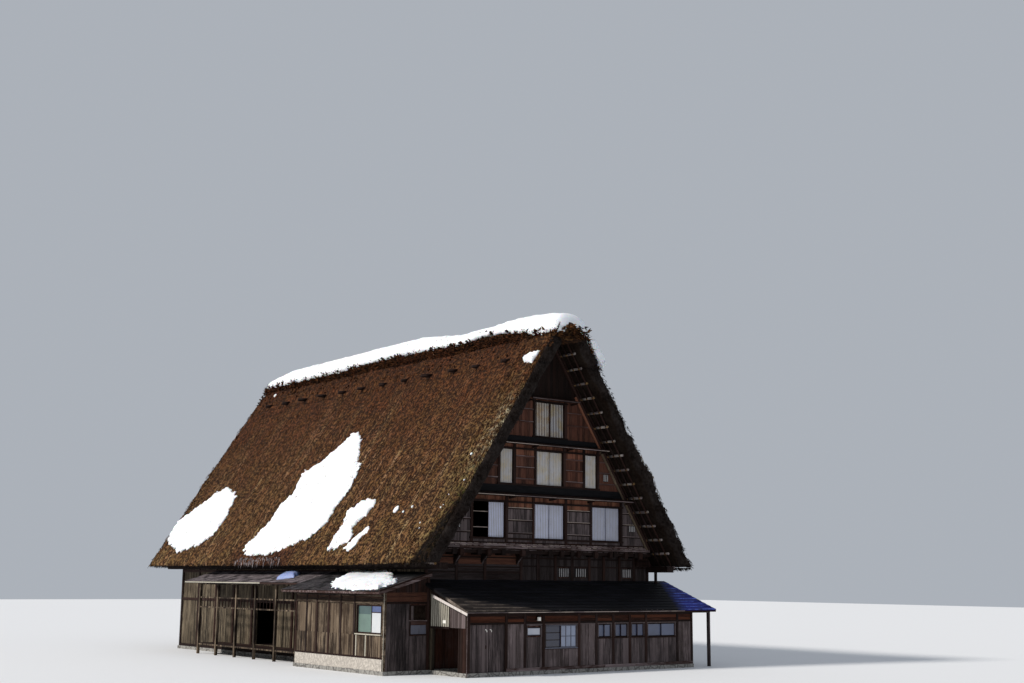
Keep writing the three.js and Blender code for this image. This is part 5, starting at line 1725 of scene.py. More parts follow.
def louvre_box(stock):
    """A small louvred box on the front wall."""
    x0, x1, y = 5.2, 5.8, FRONT_FACE
    stock.box((x0, x1), (y - 0.2, y), (4.14, 4.5), 1)
    plates(stock, ((x0 + x1) / 2, y - 0.215, 4.2), (x1 - x0, 0.05, 0.02), rows=5, row_step=(0, 0, 0.06),
           turn=(0.5, 0, 0), finish=3)


def build_gables():
    for name, place in GABLES.items():
        gable_face(name, place)
        for level in range(3):
            window_row(name, level, place)
            ledge(name, level, place)
    stock = Stock()
    lower_band(stock)
    louvre_box(stock)
    names = ("shade_upright", "dark_upright", "grey_upright", "dark_level", "shade_level", "lit_level",
             "dim_slat")
    stock_piece("front_wall_boards", stock, names, "boards", bevel=0.004)


# Roof poles


def roof_poles(side, name, node):
    """Purlins and verge rafters as round poles tied with rope."""
    stock = Stock()
    depth = THATCH + 0.05
    purlins = [PURLIN_FIRST + k * PURLIN_STEP for k in range(PURLINS)]
    for s in purlins:
        ends = [LATTICE_FRONT + 0.14 * RNG.random(), LATTICE_BACK - 0.14 * RNG.random()]
        stock.pole(on_slope(side, s, depth, ends[0]), on_slope(side, s, depth, ends[1]), 0.054, 9, 0)
    inset = (0.16, 0.52, 0.86)
    for y in (*(LATTICE_FRONT + d for d in inset), *(LATTICE_BACK - d for d in inset)):
        drift = 0.05 * (RNG.random() - 0.5)
        stock.pole(on_slope(side, purlins[0] - 0.04, depth + 0.035, y),
                   on_slope(side, purlins[-1] + 0.04, depth + 0.035, y + drift), 0.034, 7, 1)
        for s in purlins:
            for lap in (-0.028, 0.028):
                a = on_slope(side, s, depth - 0.02, y + lap) - Vector((0, 0.035, 0))
                b = on_slope(side, s, depth + 0.03, y + lap) + Vector((0, 0.035, 0))
                stock.pole(a, b, 0.053, 6, 2)
    stock_piece(name, stock, ("pole", "dark_upright", "rope"), "timber", replaces=(node,))


def build_roof_poles():
    roof_poles(-1, "tied_poles_left", "roof_lattice_left")
    roof_poles(1, "tied_poles_right", "roof_lattice_right")


# Annex


def annex_roof_z(y):
    """Height of the annex roof's upper face."""
    slope = (ANNEX_HIGH.z - (ANNEX_LOW.z + ANNEX_DEPTH)) / (ANNEX_HIGH.y - ANNEX_LOW.y)
    return ANNEX_LOW.z + ANNEX_DEPTH + slope * (y - ANNEX_LOW.y)


def rake_z(y):
    """Height of the middle of the white board that hangs under the roof's left edge."""
    return annex_roof_z(y) - 0.11 - 0.08 * (y - ANNEX_LOW.y)


def annex_courses(stock):
    """Courses of dark sheet, each lapped over the one below and shifted by half a sheet."""
    low = ANNEX_LOW.x
    run = ANNEX_HIGH.y - ANNEX_LOW.y
    slope = math.atan2(annex_roof_z(ANNEX_HIGH.y) - annex_roof_z(ANNEX_LOW.y), run)
    courses = round(run / sizes().course_step / math.cos(slope))
    step = run / courses
    sheets = 15
    width = (ANNEX_HIGH.x - low) / sheets

    def sheet(x, y, wide, **settings):
        plates(stock, (x, y, annex_roof_z(y) + 0.022), (wide - 0.004, step / math.cos(slope) + 0.05, 0.008),
               turn=(slope - 0.055, 0, 0), **settings)

    for k in range(courses):
        y, edge_y = ANNEX_LOW.y + step * (k + 0.5), ANNEX_LOW.y + step * k - 0.022
        offset, across = (width / 2, sheets - 1) if k % 2 else (0.0, sheets)
        row = {"columns": across, "column_step": (width, 0, 0)}
        sheet(low + width / 2 + offset, y, width, jitter=(0, 0.004, 0.002), **row)
        # Thin strips along each course's lower edge, which carry the painted highlights
        plates(stock, (low + width / 2 + offset, edge_y, annex_roof_z(edge_y) + 0.03),
               (width - 0.03, 0.03, 0.016), turn=(slope, 0, 0), jitter=(0.02, 0.005, 0.002), finish=5, **row)
        if offset:
            sheet(low + width / 4, y, width / 2)
            sheet(ANNEX_HIGH.x - width / 4, y, width / 2)


def annex_trim(stock):
    """White rake board, eave board, corner pipe and the clips along the eave."""
    (x0, y0, z0), (x1, y1, _) = ANNEX_LOW, ANNEX_HIGH
    board = (0.026, 0.095)
    turn = -0.95
    for x, finish in ((x0 - 0.01, 5), (x1 + 0.002, 2)):
        ends = [(x, y, annex_roof_z(y) - 0.045) for y in (y0 - 0.02, y1)]
        stock.bar(*ends, *board, finish)
    # The white rake board stops at turn; the edge above it is left dark as painted shade
    stock.bar((x0 - 0.026, y0 - 0.03, rake_z(y0)), (x0 - 0.026, turn, rake_z(turn)), *board, 1)
    parts = 7
    # The eave board's upper strip is a pale painted highlight, dark at its right end
    for k in range(parts):
        span = (x0 + (x1 - x0) * k / parts + 0.003, x0 + (x1 - x0) * (k + 1) / parts - 0.003)
        stock.boxes((span, (y0 - 0.028, y0 - 0.002), (z0 - 0.005, z0 + 0.03), 3),
                    (span, (y0 - 0.036, y0 - 0.002), (z0 + 0.03, z0 + 0.056), 6 if k < parts - 1 else 3))
    pipe = (ANNEX_LEFT - 0.03, ANNEX_FRONT - 0.05)
    stock.pole((*pipe, 0.02), (*pipe, 2.28), 0.014, 8, 4)
    clips, first, step = 34, -3.6, 0.31
    top = annex_roof_z(y0)
    for k in range(clips):
        stock.box(about(first + k * step, 0.02), (y0 - 0.035, y0 + 0.05), (top + 0.014, top + 0.03), 4)


def annex_x(bays):
    return ANNEX_LEFT + bays * HALF_KEN


def annex_frame(stock):
    """Posts, head beams and sill of the annex front."""
    y = ANNEX_FRONT
    for k in ANNEX_BAYS:
        x = annex_x(k)
        x = min(max(x, ANNEX_LEFT + 0.06), annex_x(13) - 0.06)
        stock.box(about(x, 0.06), (y - 0.045, y + (0.0 if 0 < k < 13 else 0.05)), (WALL_FOOT, 2.26), 0)
    stock.box((ANNEX_LEFT, annex_x(13)), (y - 0.035, y), (2.18, 2.33), 1)
    for left, right in zip(ANNEX_BAYS, ANNEX_BAYS[1:]):
        span = (annex_x(left) + 0.06, annex_x(right) - 0.06)
        stock.box(span, (y - 0.04, y), TRANSOM, 1)
        level_boards(stock, span, y, 2.012, 0.108, 0.113, 2, 2, 0.02, 0.003)
    for k in range(6):
        width = (annex_x(13) - annex_x(2)) / 6
        stock.box((annex_x(2) + k * width, annex_x(2) + (k + 1) * width - 0.006), (y - 0.05, y),
                  (WALL_FOOT, ANNEX_SILL), 3)


def annex_boards(stock):
    """Upright boards of each bay, below and beside its window."""
    y = ANNEX_FRONT
    windows = {left: (right, sill, head) for left, right, sill, head in ANNEX_WINDOWS}
    for left, right in zip(ANNEX_BAYS[1:], ANNEX_BAYS[2:]):
        span = (annex_x(left) + 0.06, annex_x(right) - 0.06)
        pale = 4 if left in (2, 4, 6, 12) else 5
        if left not in windows:
            upright_boards(stock, span, (ANNEX_SILL, TRANSOM[0]), y, 0.13, pale)
            continue
        _, sill, head = windows[left]
        upright_boards(stock, span, (ANNEX_SILL, sill - 0.05), y, 0.15, pale)
        if head < 1.8:
            upright_boards(stock, span, (head + 0.05, TRANSOM[0]), y, 0.15, pale)
        for x0, x1 in ((span[0], annex_x(left) + 0.11), (annex_x(right) - 0.11, span[1])):
            stock.box((x0, x1), (y - 0.02, y), (sill - 0.05, min(head + 0.05, TRANSOM[0])), 5)


def pane(stock, x, z, finish, y, rows=1, columns=1, bars=(0, 1)):
    """A sheet in a slim sash with glazing bars; bars are the finishes of the upright and the level ones."""
    bar = 0.02
    stock.box((x[0] + 0.01, x[1] - 0.01), (y + 0.012, y + 0.018), (z[0] + 0.01, z[1] - 0.01), finish)
    stock.frame(x, z, (bar, bar), ((y - 0.008, y + 0.026), (y - 0.006, y + 0.024)), bars)
    for k in range(1, rows):
        middle = z[0] + (z[1] - z[0]) * k / rows
        stock.box(x, (y - 0.004, y + 0.02), about(middle, 0.012), bars[1])
    for k in range(1, columns):
        middle = x[0] + (x[1] - x[0]) * k / columns
        stock.box(about(middle, 0.01), (y - 0.003, y + 0.02), z, bars[0])


def annex_windows():
    """Windows of the annex front, each a frame with its sashes."""
    stock = Stock()
    y = ANNEX_FRONT
    frame_bar, lap, dark = 0.022, 0.015, (8, 7)
    curtain_bay, wide_bay, frosted_bays, last_post = 3, 4, (7, 10), 12
    for left, right, sill, head in ANNEX_WINDOWS:
        x0, x1 = annex_x(left) + 0.11, annex_x(right) - 0.11
        stock.frame((x0, x1), (sill, head), (frame_bar, frame_bar),
                    ((y - 0.03, y + 0.09), (y - 0.028, y + 0.09)), (0, 1 if left == wide_bay else 7))
        inner, z = (x0 + frame_bar, x1 - frame_bar), (sill + frame_bar, head - frame_bar)
        middle = mid(inner)
        if left == curtain_bay:
            pane(stock, inner, z, 6, y)
            continue
        near, far = (inner[0], middle + lap), (middle - lap, inner[1])
        if left == wide_bay:
            pane(stock, near, z, 3, y + 0.03, rows=3, bars=dark)
            pane(stock, far, z, 4, y, rows=2, columns=3)
        else:
            glass = 2 if left in frosted_bays else 5
            pane(stock, near, z, glass, y + 0.03, bars=dark)
            pane(stock, far, z, glass, y, bars=dark)
        stock.box((x0 - 0.03, x1 + 0.03), (y - 0.05, y), (sill - 0.03, sill), 1 if left == wide_bay else 7)
    stock.box((annex_x(curtain_bay), annex_x(last_post)), (y - 0.032, y - 0.001), (1.845, TRANSOM[0]), 0)
    names = ("grey_upright", "vent_grey", "frosted", "dark_glass", "pale_glass", "dusk_glass", "curtain",
             "dark_level", "dark_upright")
    stock_piece("annex_glazing", stock, names, "window_glass", replaces=("annex_windows",), bevel=0.003)


def plank_door(node, salt):
    """A sliding door of upright planks on ledges, inside its leaf's own box."""
    low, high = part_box(node)
    stock = Stock()
    count = 6
    step = (high.x - low.x) / count
    for k in range(count):
        top = high.z - 0.004 * ((k * 7 + salt) % 3)
        shift = 0.003 * ((k * 5 + salt) % 3)
        stock.box((low.x + k * step + 0.002, low.x + (k + 1) * step - 0.002),
                  (low.y + 0.005 + shift, high.y - 0.01), (low.z + 0.004, top), 0)
    for z in (0.42, 1.08, 1.66):
        stock.box((low.x + 0.01, high.x - 0.01), (high.y - 0.014, high.y), about(z, 0.045), 1)
    for x in (low.x, high.x - 0.05):
        stock.box((x, x + 0.05), (low.y, low.y + 0.02), (low.z, high.z), 0)
    right = node == "door_right"
    pull, hook = (low.x + 0.09, low.x + 0.22) if right else (high.x - 0.13, high.x - 0.1)
    stock.box((pull, pull + 0.035), (low.y, low.y + 0.012), (1.0, 1.14), 2)
    start, bend, end = ((hook + x, low.y + 0.01, z) for x,
                        z in ((-0.045, 1.71), (0.03, 1.675), (0.04, 1.61)))
    stock.pole(start, bend, 0.017, 8, 3)
    stock.pole(bend, end, 0.016, 8, 3)
    names = ("grey_upright", "grey_level", "dark_upright", "lamp")
    stock_piece(f"{node}_planks", stock, names, "door_boards", body=node, replaces=(node,), bevel=0.003)


def annex_side(stock):
    """Cream slats over a dark gap painted as a near-black sheet, then boards, on the annex's left end."""
    x, front, back, shelf = ANNEX_LEFT, -1.74, -0.5, 1.7
    # The lowest boards take the dark post finish as painted shade
    rows = (
        (9, -0.6, 0.132, 0.034, (-0.04, -0.01), 1.78, None, 6),
        (8, -1.8, 0.122, 0.057, None, 1.75, None, 4),
        (4, -2.4, 0.11, 0.052, None, WALL_FOOT, 1.75, 0),
    )
    for count, first, step, half, depth, foot, head, finish in rows:
        for k in range(count):
            y = first - k * step
            low, high = depth or (-BOARD - 0.005 * (k % 2), 0.0)
            top = head or rake_z(y if depth else y - 0.055) - 0.03
            stock.box((x + low, x + high), about(y, half), (foot, top), finish)
        if depth:
            under = [(y, annex_roof_z(y) - 0.12) for y in (back, front)]
            # A near-black sheet paints the shade in the gap behind the slats
            stock.prism([(front, shelf), (back, shelf), *under], "x", (x - 0.01, x - 0.001), 9)
            stock.boxes(((x - 0.045, x), (front, back), (shelf, 1.78), 7),
                        ((x - 0.05, x - 0.03), (-1.52, -1.34), (1.9, 2.02), 8))
    stock.box((x - 0.04, x + 0.02), (-2.38, -2.3), (WALL_FOOT, 1.75), 0)


def wall_lamp(stock):
    """A round lamp with a small hood beside the doors."""
    x, y, z = -2.62, ANNEX_FRONT - 0.05, 2.06
    stock.box(about(x, 0.05), (y, y + 0.05), (z - 0.02, z + 0.12), 1)
    foot, neck, tip = ((x, y - 0.07, z + rise) for rise in (-0.06, 0.08, 0.12))
    stock.pole(foot, neck, 0.075, 12, 8)
    stock.pole(neck, tip, 0.085, 12, 1, end_radius=0.03)


def build_annex():
    """The annex roof, its trim, and its front with windows and doors."""
    stock = Stock()
    annex_courses(stock)
    annex_trim(stock)
    names = ("roofing", "white_paint", "dark_back", "dark_level", "grey_level", "course_edge", "edge_highlight")
    stock_piece("annex_roof_courses", stock, names, "metal_roofing")
    stock = Stock()
    annex_frame(stock)
    annex_boards(stock)
    annex_side(stock)
    wall_lamp(stock)
    names = ("dark_upright", "dark_level", "frieze", "grey_level", "pale_upright", "grey_upright",
             "cream_paint", "dark_back", "lamp", "painted_shade_black")
    stock_piece("annex_front_boards", stock, names, "boards", bevel=0.004)
    annex_windows()
    plank_door("door_left", 1)
    plank_door("door_right", 2)


# Wing and side walls


def wing_roof_z(x):
    return WING_LOW.z + 0.08 + WING_RISE * (x - WING_LOW.x)


def wing_shingles(stock):
    """Grey shingles in lapped courses on both widths of the wing roof."""
    tilt = math.atan(WING_RISE)
    top_x, covered_x, course, shingle = -6.0, -6.3, 0.24, 0.3
    widths = ((WING_LOW.x, WING_FRONT_Y, WING_END_Y), (VERANDA_X, WING_END_Y, VERANDA_END_Y))
    for finish, (x_low, y0, y1) in enumerate(widths):
        run = top_x - x_low
        courses = round(run / course)
        step = run / courses
        across = round((y1 - y0) / shingle)
        width = (y1 - y0) / across
        for k in range(courses):
            x = x_low + step * (k + 0.5)
            if y0 < 0 and x > covered_x:
                continue
            plates(stock, (x, y0 + width / 2, wing_roof_z(x) + 0.014), (step * 1.25, width - 0.008, 0.012),
                   across, (0, width, 0), turn=(0, -tilt + 0.05, 0), jitter=(0.01, 0, 0.003), finish=finish)


def side_boards(stock, y, z, x, width, finish, out=-1):
    """Upright boards on a wall that faces left (out -1) or right (out 1)."""
    count = max(1, round((y[1] - y[0]) / width))
    step = (y[1] - y[0]) / count
    plates(stock, (x + out * BOARD / 2, y[0] + step / 2, mid(z)), (BOARD, step - BOARD_GAP, z[1] - z[0]),
           count, (0, step, 0), jitter=(0.003, 0, 0), finish=finish)


def wing_front(stock):
    """The wing's narrow front wall: upright grey boards, brown level ones and dark ones over them."""
    y, foot = GABLE_Y, 0.16
    left, right, vent_left = WING_X + 0.07, -6.08, -6.88
    upright_boards(stock, (left, vent_left), (foot, 2.6), y, 0.2, 0)
    upright_boards(stock, (vent_left, right), (foot, 1.42), y, 0.22, 0)
    stock.box((left, right), (y - 0.045, y), (2.6, 2.67), 5)
    # The brown level boards are in red level boards painted as lit
    level_boards(stock, (left, right), y, 2.76, 0.17, 0.175, 2, 9)
    boards = 13
    step = (right - left) / boards
    for k in range(boards):
        span = (left + k * step, left + k * step + step - BOARD_GAP)
        tops = [(x, wing_roof_z(x) - WING_GAP) for x in reversed(span)]
        stock.prism([(span[0], 3.02), (span[1], 3.02), *tops], "y", (y - BOARD, y), 2)
    stock.box((right - 0.02, right + 0.1), (y - 0.05, y), (foot, wing_roof_z(right) - WING_GAP), 2)


def wing_long_side(stock):
    """Sunlit boards, posts, rails, lintel and plinth of the wing's long wall."""
    x, y = WING_X, GABLE_Y
    from_y, to_y, sill, head, _ = WING_WINDOW.values()
    top, end, plinth, foot = wing_roof_z(x) - WING_GAP, 6.05, 0.58, 0.65
    side_boards(stock, (y + 0.08, end), (0.63, sill - 0.05), x, 0.13, 3)
    side_boards(stock, (to_y + 0.06, end), (sill - 0.05, head), x, 0.15, 3)
    plates(stock, (x - BOARD / 2, (y + 0.08 + end) / 2, head + 0.14), (BOARD, end - y - 0.08, 0.165), rows=3,
           row_step=(0, 0, 0.17), jitter=(0.004, 0, 0), finish=4)
    stock.boxes(((x - 0.04, x), (y + 0.04, end), (2.6, 2.68), 8),
                ((x - 0.04, x), (y + 0.04, end), (2.87, 2.92), 8),
                ((x - 0.035, x), (y + 0.04, end), (plinth, foot), 5),
                ((x - 0.03, x), (y, end), (WALL_FOOT, plinth), 6))
    for at in (1.6, 2.6, 3.5, 4.4, 5.2, 6.04):
        stock.box((x - 0.045, x), about(at, 0.05), (foot, top), 2)
    for at in (0.8, 1.46):
        stock.box((x - 0.04, x), about(at, 0.028), (foot, sill - 0.05), 7)
    stock.boxes(((x - 0.08, x), (from_y - 0.05, to_y + 0.04), (sill - 0.045, sill), 7),
                ((x - 0.03, x + 0.07), (y - 0.03, y + 0.07), (WALL_FOOT, top), 8),
                ((x - 0.04, x - 0.03), (y - 0.028, y - 0.006), (WALL_FOOT, top), 7))


def wing_eaves(stock):
    """Eave boards and the thick rake of the wing's roof."""
    edge, rake_x, foot = WING_LOW.x, -6.17, WING_LOW.z
    stock.box((edge - 0.02, edge + 0.015), (WING_FRONT_Y, WING_END_Y), (foot - 0.02, foot + 0.065), 1)
    low = wing_roof_z(VERANDA_X)
    for y, depth, finish in (((10.0, 17.38), 0.06, 7), ((6.47, 9.98), 0.075, 2)):
        stock.box(about(VERANDA_X, 0.02), y, (low - depth, low - 0.01), finish)
    for out, lift, width, depth, finish in ((0.015, -0.05, 0.03, 0.14, 1), (0.03, 0.02, 0.05, 0.06, 5)):
        ends = [(x, WING_FRONT_Y - out, wing_roof_z(x) + lift) for x in (edge, rake_x)]
        stock.bar(*ends, width, depth, finish)


def wing_window():
    """Two sliding sashes in a frame: a curtain behind one, green glass in the other, blue glass over both."""
    stock = Stock()
    x, (from_y, to_y, sill, head, split) = WING_X, WING_WINDOW.values()
    bar, lap = 0.028, 0.02
    low_z, high_z = sill + bar, head - bar

    def sash(y, panes, depth, rails):
        face = x + depth
        for finish, low, high in panes:
            stock.box((face + 0.01, face + 0.016), (y[0] + 0.01, y[1] - 0.01), (low, high), finish)
        for span in ((y[0], y[0] + bar), (y[1] - bar, y[1])):
            stock.box((face - 0.008, face + 0.03), span, (low_z, high_z), 0)
        for low in (low_z, head - 2 * bar, *rails):
            stock.box((face - 0.006, face + 0.028), y, (low, low + bar), 0)

    for span in ((from_y, from_y + bar), (to_y - bar, to_y)):
        stock.box((x - 0.03, x + 0.09), span, (sill, head), 0)
    for span in ((sill, low_z), (high_z, head)):
        stock.box((x - 0.028, x + 0.09), (from_y, to_y), span, 0)
    sash((from_y + bar, split + lap), ((1, low_z, 2.27), (3, 2.27, high_z)), 0.0, (2.26,))
    sash((split - lap, to_y - bar), ((2, low_z, 2.2), (4, 2.2, high_z)), 0.03, ())
    names = ("dark_upright", "sun_curtain", "green_glass", "blue_glass", "deep_green_glass")
    stock_piece("wing_glazing", stock, names, "window_glass", replaces=("wing_window",), bevel=0.003)


def wing_vent():
    """A framed panel under a shelf, and above it a small board before a near-black sheet of painted shade."""
    low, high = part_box("wing_vent")
    stock = Stock()
    y, bar, panel_top, shelf = GABLE_Y, 0.04, 1.81, 1.96
    inner = (low.x + 0.03, high.x - 0.03)
    stock.frame((low.x, high.x), (low.z, high.z), (bar, bar), ((y - 0.025, y + 0.08), (y - 0.03, y + 0.08)),
                (0, 1))
    stock.boxes((inner, (y - 0.015, y + 0.005), (low.z + 0.03, panel_top), 2),
                (inner, (y - 0.02, y + 0.08), (panel_top, shelf), 4),
                ((low.x - 0.06, high.x), (y - 0.05, y + 0.08), (shelf, shelf + 0.035), 5),
                # A near-black sheet paints the shade of the open space above the shelf
                (inner, (y + 0.05, y + 0.06), (shelf, high.z - 0.02), 3),
                ((low.x + bar, low.x + 0.17), (y - 0.015, y + 0.005), (shelf + 0.03, high.z - bar), 6))
    names = ("dark_upright", "dark_level", "vent_grey", "painted_shade_black", "red_level", "grey_level",
             "grey_upright")
    stock_piece("wing_vent_panel", stock, names, "vent_panel", replaces=("wing_vent",), bevel=0.003)


def side_wall_frame(stock, x, out, y, z, gaps):
    """Posts every bay with rails between them on a long side wall."""
    count = round((y[1] - y[0]) / (2 * HALF_KEN))
    for k in range(count + 1):
        at = y[0] + (y[1] - y[0]) * k / count
        if any(low < at < high for low, high in gaps):
            continue
        stock.box(sorted((x, x + out * 0.05)), about(at, 0.075), z, 0)
    for height in (z[0] + 0.06, 2.45, z[1] - 0.09):
        stock.box(sorted((x, x + out * 0.04)), y, about(height, 0.06), 1)


def low_windows(name, node, place, spans):
    """Sliding glazed windows in a plain wall, in the wall's own coordinates."""
    stock = Stock()
    sill, head, bar, lap = 1.25, 2.25, 0.05, 0.015
    for x0, x1 in spans:
        stock.frame((x0, x1), (sill, head), (bar, bar), ((-0.03, 0.12), (-0.028, 0.12)), (0, 1))
        middle = (x0 + x1) / 2
        for x, y in (((x0 + bar, middle + lap), 0.03), ((middle - lap, x1 - bar), 0.0)):
            pane(stock, x, (sill + bar, head - bar), 2, y, rows=3, columns=2)
        stock.box((x0 - bar, x1 + bar), (-0.07, 0), (sill - bar, sill), 1)
    names = ("dark_upright", "dark_level", "frosted")
    stock_piece(name, stock, names, "window_glass", place, replaces=(node,), bevel=0.003)


def build_outer_walls():
    """Posts and rails of the right, left and back walls, and the low windows of the right and the back."""
    stock = Stock()
    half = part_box("right_wall")[1].x
    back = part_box("back_wall")[1].y
    inset, wing_post, doorways = 0.08, 6.2, ((7.9, 9.72), (11.54, 13.36))
    side_wall_frame(stock, half, 1, (FRONT_FACE + inset, back - inset), WALL_SPAN, ())
    side_wall_frame(stock, -half, -1, (wing_post, back - inset), WALL_SPAN, doorways)
    posts, end_post, post_top, rail_end = 8, 5.85, 4.5, 5.95
    for k in range(posts):
        x = -end_post + 2 * end_post * k / (posts - 1)
        if not any(low < x < high for low, high in BACK_WINDOWS):
            stock.box(about(x, 0.075), (back, back + 0.05), (WALL_FOOT, post_top), 0)
    for z in (0.21, 2.45, 3.5, 4.4):
        stock.box((-rail_end, rail_end), (back, back + 0.04), about(z, 0.06), 2)
    names = ("dark_upright", "dark_back", "dark_level")
    stock_piece("side_wall_posts", stock, names, "timber", bevel=0.005)
    low_windows("right_wall_glazing", "right_windows",
                Matrix.Translation((half, 0, 0)) @ Matrix.Rotation(math.pi / 2, 4, "Z"), RIGHT_WINDOWS)
    low_windows("back_wall_glazing", "back_low_windows",
                Matrix.Translation((0, back, 0)) @ Matrix.Rotation(math.pi, 4, "Z"), BACK_WINDOWS)


def build_sides():
    """The wing, the outer walls and the veranda's deck."""
    stock = Stock()
    wing_shingles(stock)
    stock_piece("wing_roof_shingles", stock, ("shingles", "pale_shingles"), "shingles")
    stock = Stock()
    wing_front(stock)
    wing_long_side(stock)
    wing_eaves(stock)
    names = ("shade_grey", "grey_level", "dark_upright", "sun_upright", "lintel", "dark_level", "plinth",
             "cream_paint", "sun_level", "lit_level")
    stock_piece("wing_wall_boards", stock, names, "boards", bevel=0.004)
    wing_window()
    wing_vent()
    build_outer_walls()
    build_veranda_deck()


def build_veranda_deck():
    """Deck boards laid over the veranda's floor, and balusters under the rail."""
    low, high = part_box("veranda")
    stock = Stock()
    boards, margin = 6, 0.03
    step = (high.x - low.x - 0.04) / boards
    plates(stock, (low.x + margin + step / 2, (low.y + high.y) / 2, 0.49),
           (step - 0.006, high.y - low.y, 0.018), boards, (step, 0, 0), finish=0)
    balusters, gap = 29, 0.3
    plates(stock, (-7.245, low.y + gap, 2.37), (0.03, 0.03, 0.4), rows=balusters, row_step=(0, gap, 0),
           finish=1)
    stock_piece("veranda_boards", stock, ("dark_back", "dark_upright"), "timber")


# Finishes of the nodes that keep their own shape
NODE_FINISHES = {
    "foundation": "stone", "ground_floor": "dark_back", "front_wall": "wall_x", "back_wall": "wall_x",
    "left_wall": "wall_y", "right_wall": "wall_y",
    "eave_beam_left": "dark_back", "eave_beam_right": "dark_back",
    "attic_floor_1": "dark_level", "attic_floor_2": "dark_level", "attic_floor_3": "dark_level",
    "front_gable_wall": "inside", "back_gable_wall": "inside", "annex_roof": "roofing",
    "annex_front_wall": "wall_x", "annex_door_head": "wall_x", "annex_left_wall": "wall_y",
    "annex_right_wall": "wall_y", "porch_post": "grey_upright", "wing_roof": "shingles",
    "wing_front_wall": "wall_x", "wing_long_wall": "wall_y", "wing_back_wall": "wall_x",
    "veranda": "sun_upright",
}


def build_node_finishes():
    """Finish on the frame's nodes that keep their own shape."""
    for node, finish in NODE_FINISHES.items():
        finish_node(node, FINISH[finish])
    for k in range(6):
        finish_node(f"rafter_frame_{k + 1}", FINISH["dark_upright"])


# Stage

CAMERA = {"place": (-35.852, -42.515, 3.525), "yaw": 38.743, "pitch": 10.17, "roll": 0.543, "lens": 46.715}


def build_stage():
    """Floor, lights and camera."""
    floor = Stock()
    floor.box((-160, 160), (-160, 160), (-0.4, 0.0))
    FINISH["floor"], _, surface, _ = new_material("Pale floor", 0.9)
    surface.inputs["Base Color"].default_value = (0.76, 0.77, 0.79, 1)
    new_object("floor", as_mesh("floor", floor, ("floor",)))
    world = bpy.data.worlds.new("Pale room")
    world.use_nodes = True
    sky = world.node_tree.nodes["Background"]
    sky.inputs["Color"].default_value = (0.82, 0.88, 0.97, 1)
    sky.inputs["Strength"].default_value = 0.5
    bpy.context.scene.world = world
    bpy.context.scene.view_settings.view_transform = "Standard"
    for name, way, strength, angle, colour in (
        ("key", (-0.82, 0.16, 0.55), 3.5, 7.0, (1.0, 0.95, 0.88)),
        ("fill", (-0.45, -0.85, 0.35), 0.1, 60.0, (0.93, 0.96, 1.0)),
    ):
        light = bpy.data.lights.new(name, "SUN")
        light.energy, light.angle, light.color = strength, math.radians(angle), colour
        lamp = new_object(name, light)
        lamp.rotation_mode = "QUATERNION"
        lamp.rotation_quaternion = Vector(way).to_track_quat("Z", "Y")
    build_camera()


def build_camera():
    """Camera at the place fitted to the photo."""
    yaw, pitch, roll = (math.radians(CAMERA[key]) for key in ("yaw", "pitch", "roll"))
    ahead = Vector((math.sin(yaw) * math.cos(pitch), math.cos(yaw) * math.cos(pitch), math.sin(pitch)))
    level = Vector((math.cos(yaw), -math.sin(yaw), 0))
    above = level.cross(ahead)
    right = level * math.cos(roll) + above * math.sin(roll)
    up = above * math.cos(roll) - level * math.sin(roll)
    data = bpy.data.cameras.new("camera")
    data.lens, data.sensor_width = CAMERA["lens"], 36.0
    data.clip_start, data.clip_end = 0.5, 600.0
    camera = new_object("camera", data)
    turn = Matrix((right, up, -ahead)).transposed().to_4x4()
    camera.matrix_world = Matrix.Translation(CAMERA["place"]) @ turn
    bpy.context.scene.camera = camera


# Operators


class FarmhouseOperator:
    """Shared by every step that builds a group of pieces."""

    bl_options = {"REGISTER", "UNDO"}
    step = None

    def execute(self, context):
        type(self).step()
        return {"FINISHED"}


class FARMHOUSE_OT_finishes(FarmhouseOperator, bpy.types.Operator):
    """Make the materials"""

    bl_idname, bl_label, step = "farmhouse.finishes", "Make finishes", staticmethod(make_finishes)


class FARMHOUSE_OT_nodes(FarmhouseOperator, bpy.types.Operator):
    """Give the frame's own nodes their finish"""

    bl_idname, bl_label, step = "farmhouse.nodes", "Finish walls and floors", staticmethod(
        build_node_finishes)


class FARMHOUSE_OT_thatch(FarmhouseOperator, bpy.types.Operator):
    """Build the thatched slopes and the ridge"""

    bl_idname, bl_label, step = "farmhouse.thatch", "Thatch", staticmethod(build_thatch)


class FARMHOUSE_OT_reeds(FarmhouseOperator, bpy.types.Operator):
    """Scatter loose reeds over the thatch"""

    bl_idname, bl_label, step = "farmhouse.reeds", "Loose reeds", staticmethod(build_reeds)


class FARMHOUSE_OT_snow(FarmhouseOperator, bpy.types.Operator):
    """Lay the snow that is left on the roofs"""

    bl_idname, bl_label, step = "farmhouse.snow", "Snow", staticmethod(build_snow)


class FARMHOUSE_OT_poles(FarmhouseOperator, bpy.types.Operator):
    """Build the tied poles under the thatch"""

    bl_idname, bl_label, step = "farmhouse.poles", "Roof poles", staticmethod(build_roof_poles)


class FARMHOUSE_OT_gables(FarmhouseOperator, bpy.types.Operator):
    """Build the boarded gables with their windows and ledges"""

    bl_idname, bl_label, step = "farmhouse.gables", "Gables", staticmethod(build_gables)


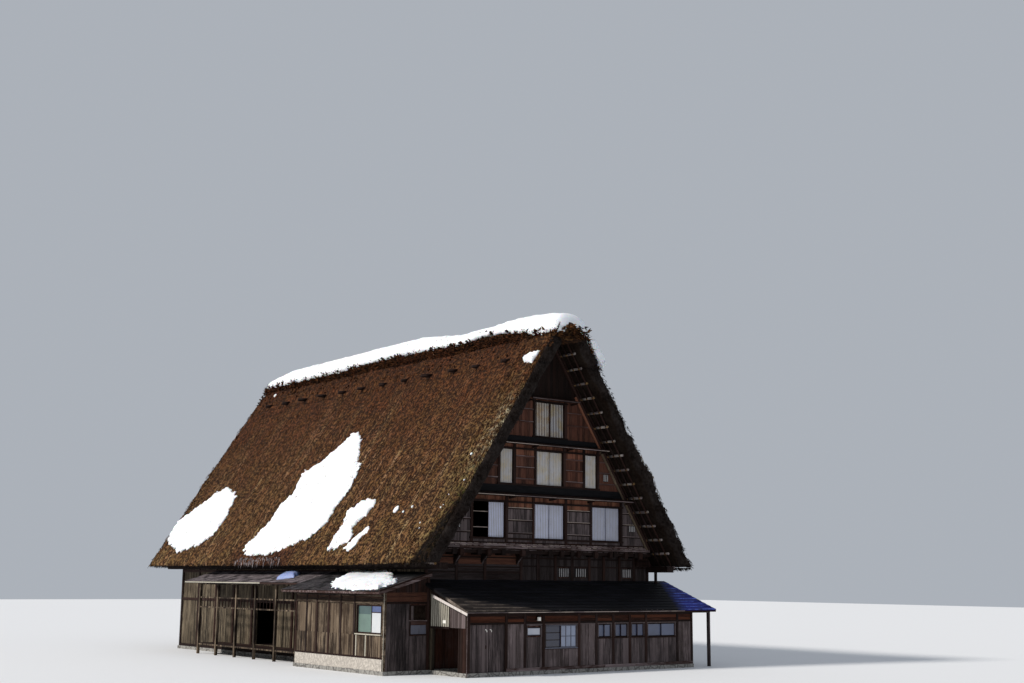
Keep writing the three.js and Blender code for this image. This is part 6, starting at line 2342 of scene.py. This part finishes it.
class FARMHOUSE_OT_annex(FarmhouseOperator, bpy.types.Operator):
    """Build the annex front, roof and doors"""

    bl_idname, bl_label, step = "farmhouse.annex", "Annex", staticmethod(build_annex)


class FARMHOUSE_OT_sides(FarmhouseOperator, bpy.types.Operator):
    """Build the wing, the veranda and the side walls"""

    bl_idname, bl_label, step = "farmhouse.sides", "Wing and sides", staticmethod(build_sides)


class FARMHOUSE_OT_stage(FarmhouseOperator, bpy.types.Operator):
    """Set the floor, the lights and the camera"""

    bl_idname, bl_label, step = "farmhouse.stage", "Stage", staticmethod(build_stage)


STEPS = (FARMHOUSE_OT_finishes, FARMHOUSE_OT_nodes, FARMHOUSE_OT_thatch, FARMHOUSE_OT_reeds,
         FARMHOUSE_OT_snow, FARMHOUSE_OT_poles, FARMHOUSE_OT_gables, FARMHOUSE_OT_annex, FARMHOUSE_OT_sides,
         FARMHOUSE_OT_stage)


class FARMHOUSE_PT_panel(bpy.types.Panel):
    """Lists the steps and the sizes they use"""

    bl_idname, bl_label = "FARMHOUSE_PT_panel", "Farmhouse"
    bl_space_type, bl_region_type, bl_category = "VIEW_3D", "UI", "Farmhouse"

    def draw(self, context):
        for group in (context.scene.farmhouse_sizes, context.scene.farmhouse_colours):
            for name in group.__annotations__:
                self.layout.prop(group, name)
        for step in STEPS:
            self.layout.operator(step.bl_idname)


CLASSES = (FarmhouseSizes, FarmhouseColours, *STEPS, FARMHOUSE_PT_panel)


def register():
    for entry in CLASSES:
        bpy.utils.register_class(entry)
    bpy.types.Scene.farmhouse_sizes = bpy.props.PointerProperty(type=FarmhouseSizes)
    bpy.types.Scene.farmhouse_colours = bpy.props.PointerProperty(type=FarmhouseColours)


def unregister():
    del bpy.types.Scene.farmhouse_colours
    del bpy.types.Scene.farmhouse_sizes
    for entry in reversed(CLASSES):
        bpy.utils.unregister_class(entry)


def main():
    register()
    for step in STEPS:
        area, action = step.bl_idname.split(".")
        getattr(getattr(bpy.ops, area), action)()


if __name__ == "__main__":
    main()
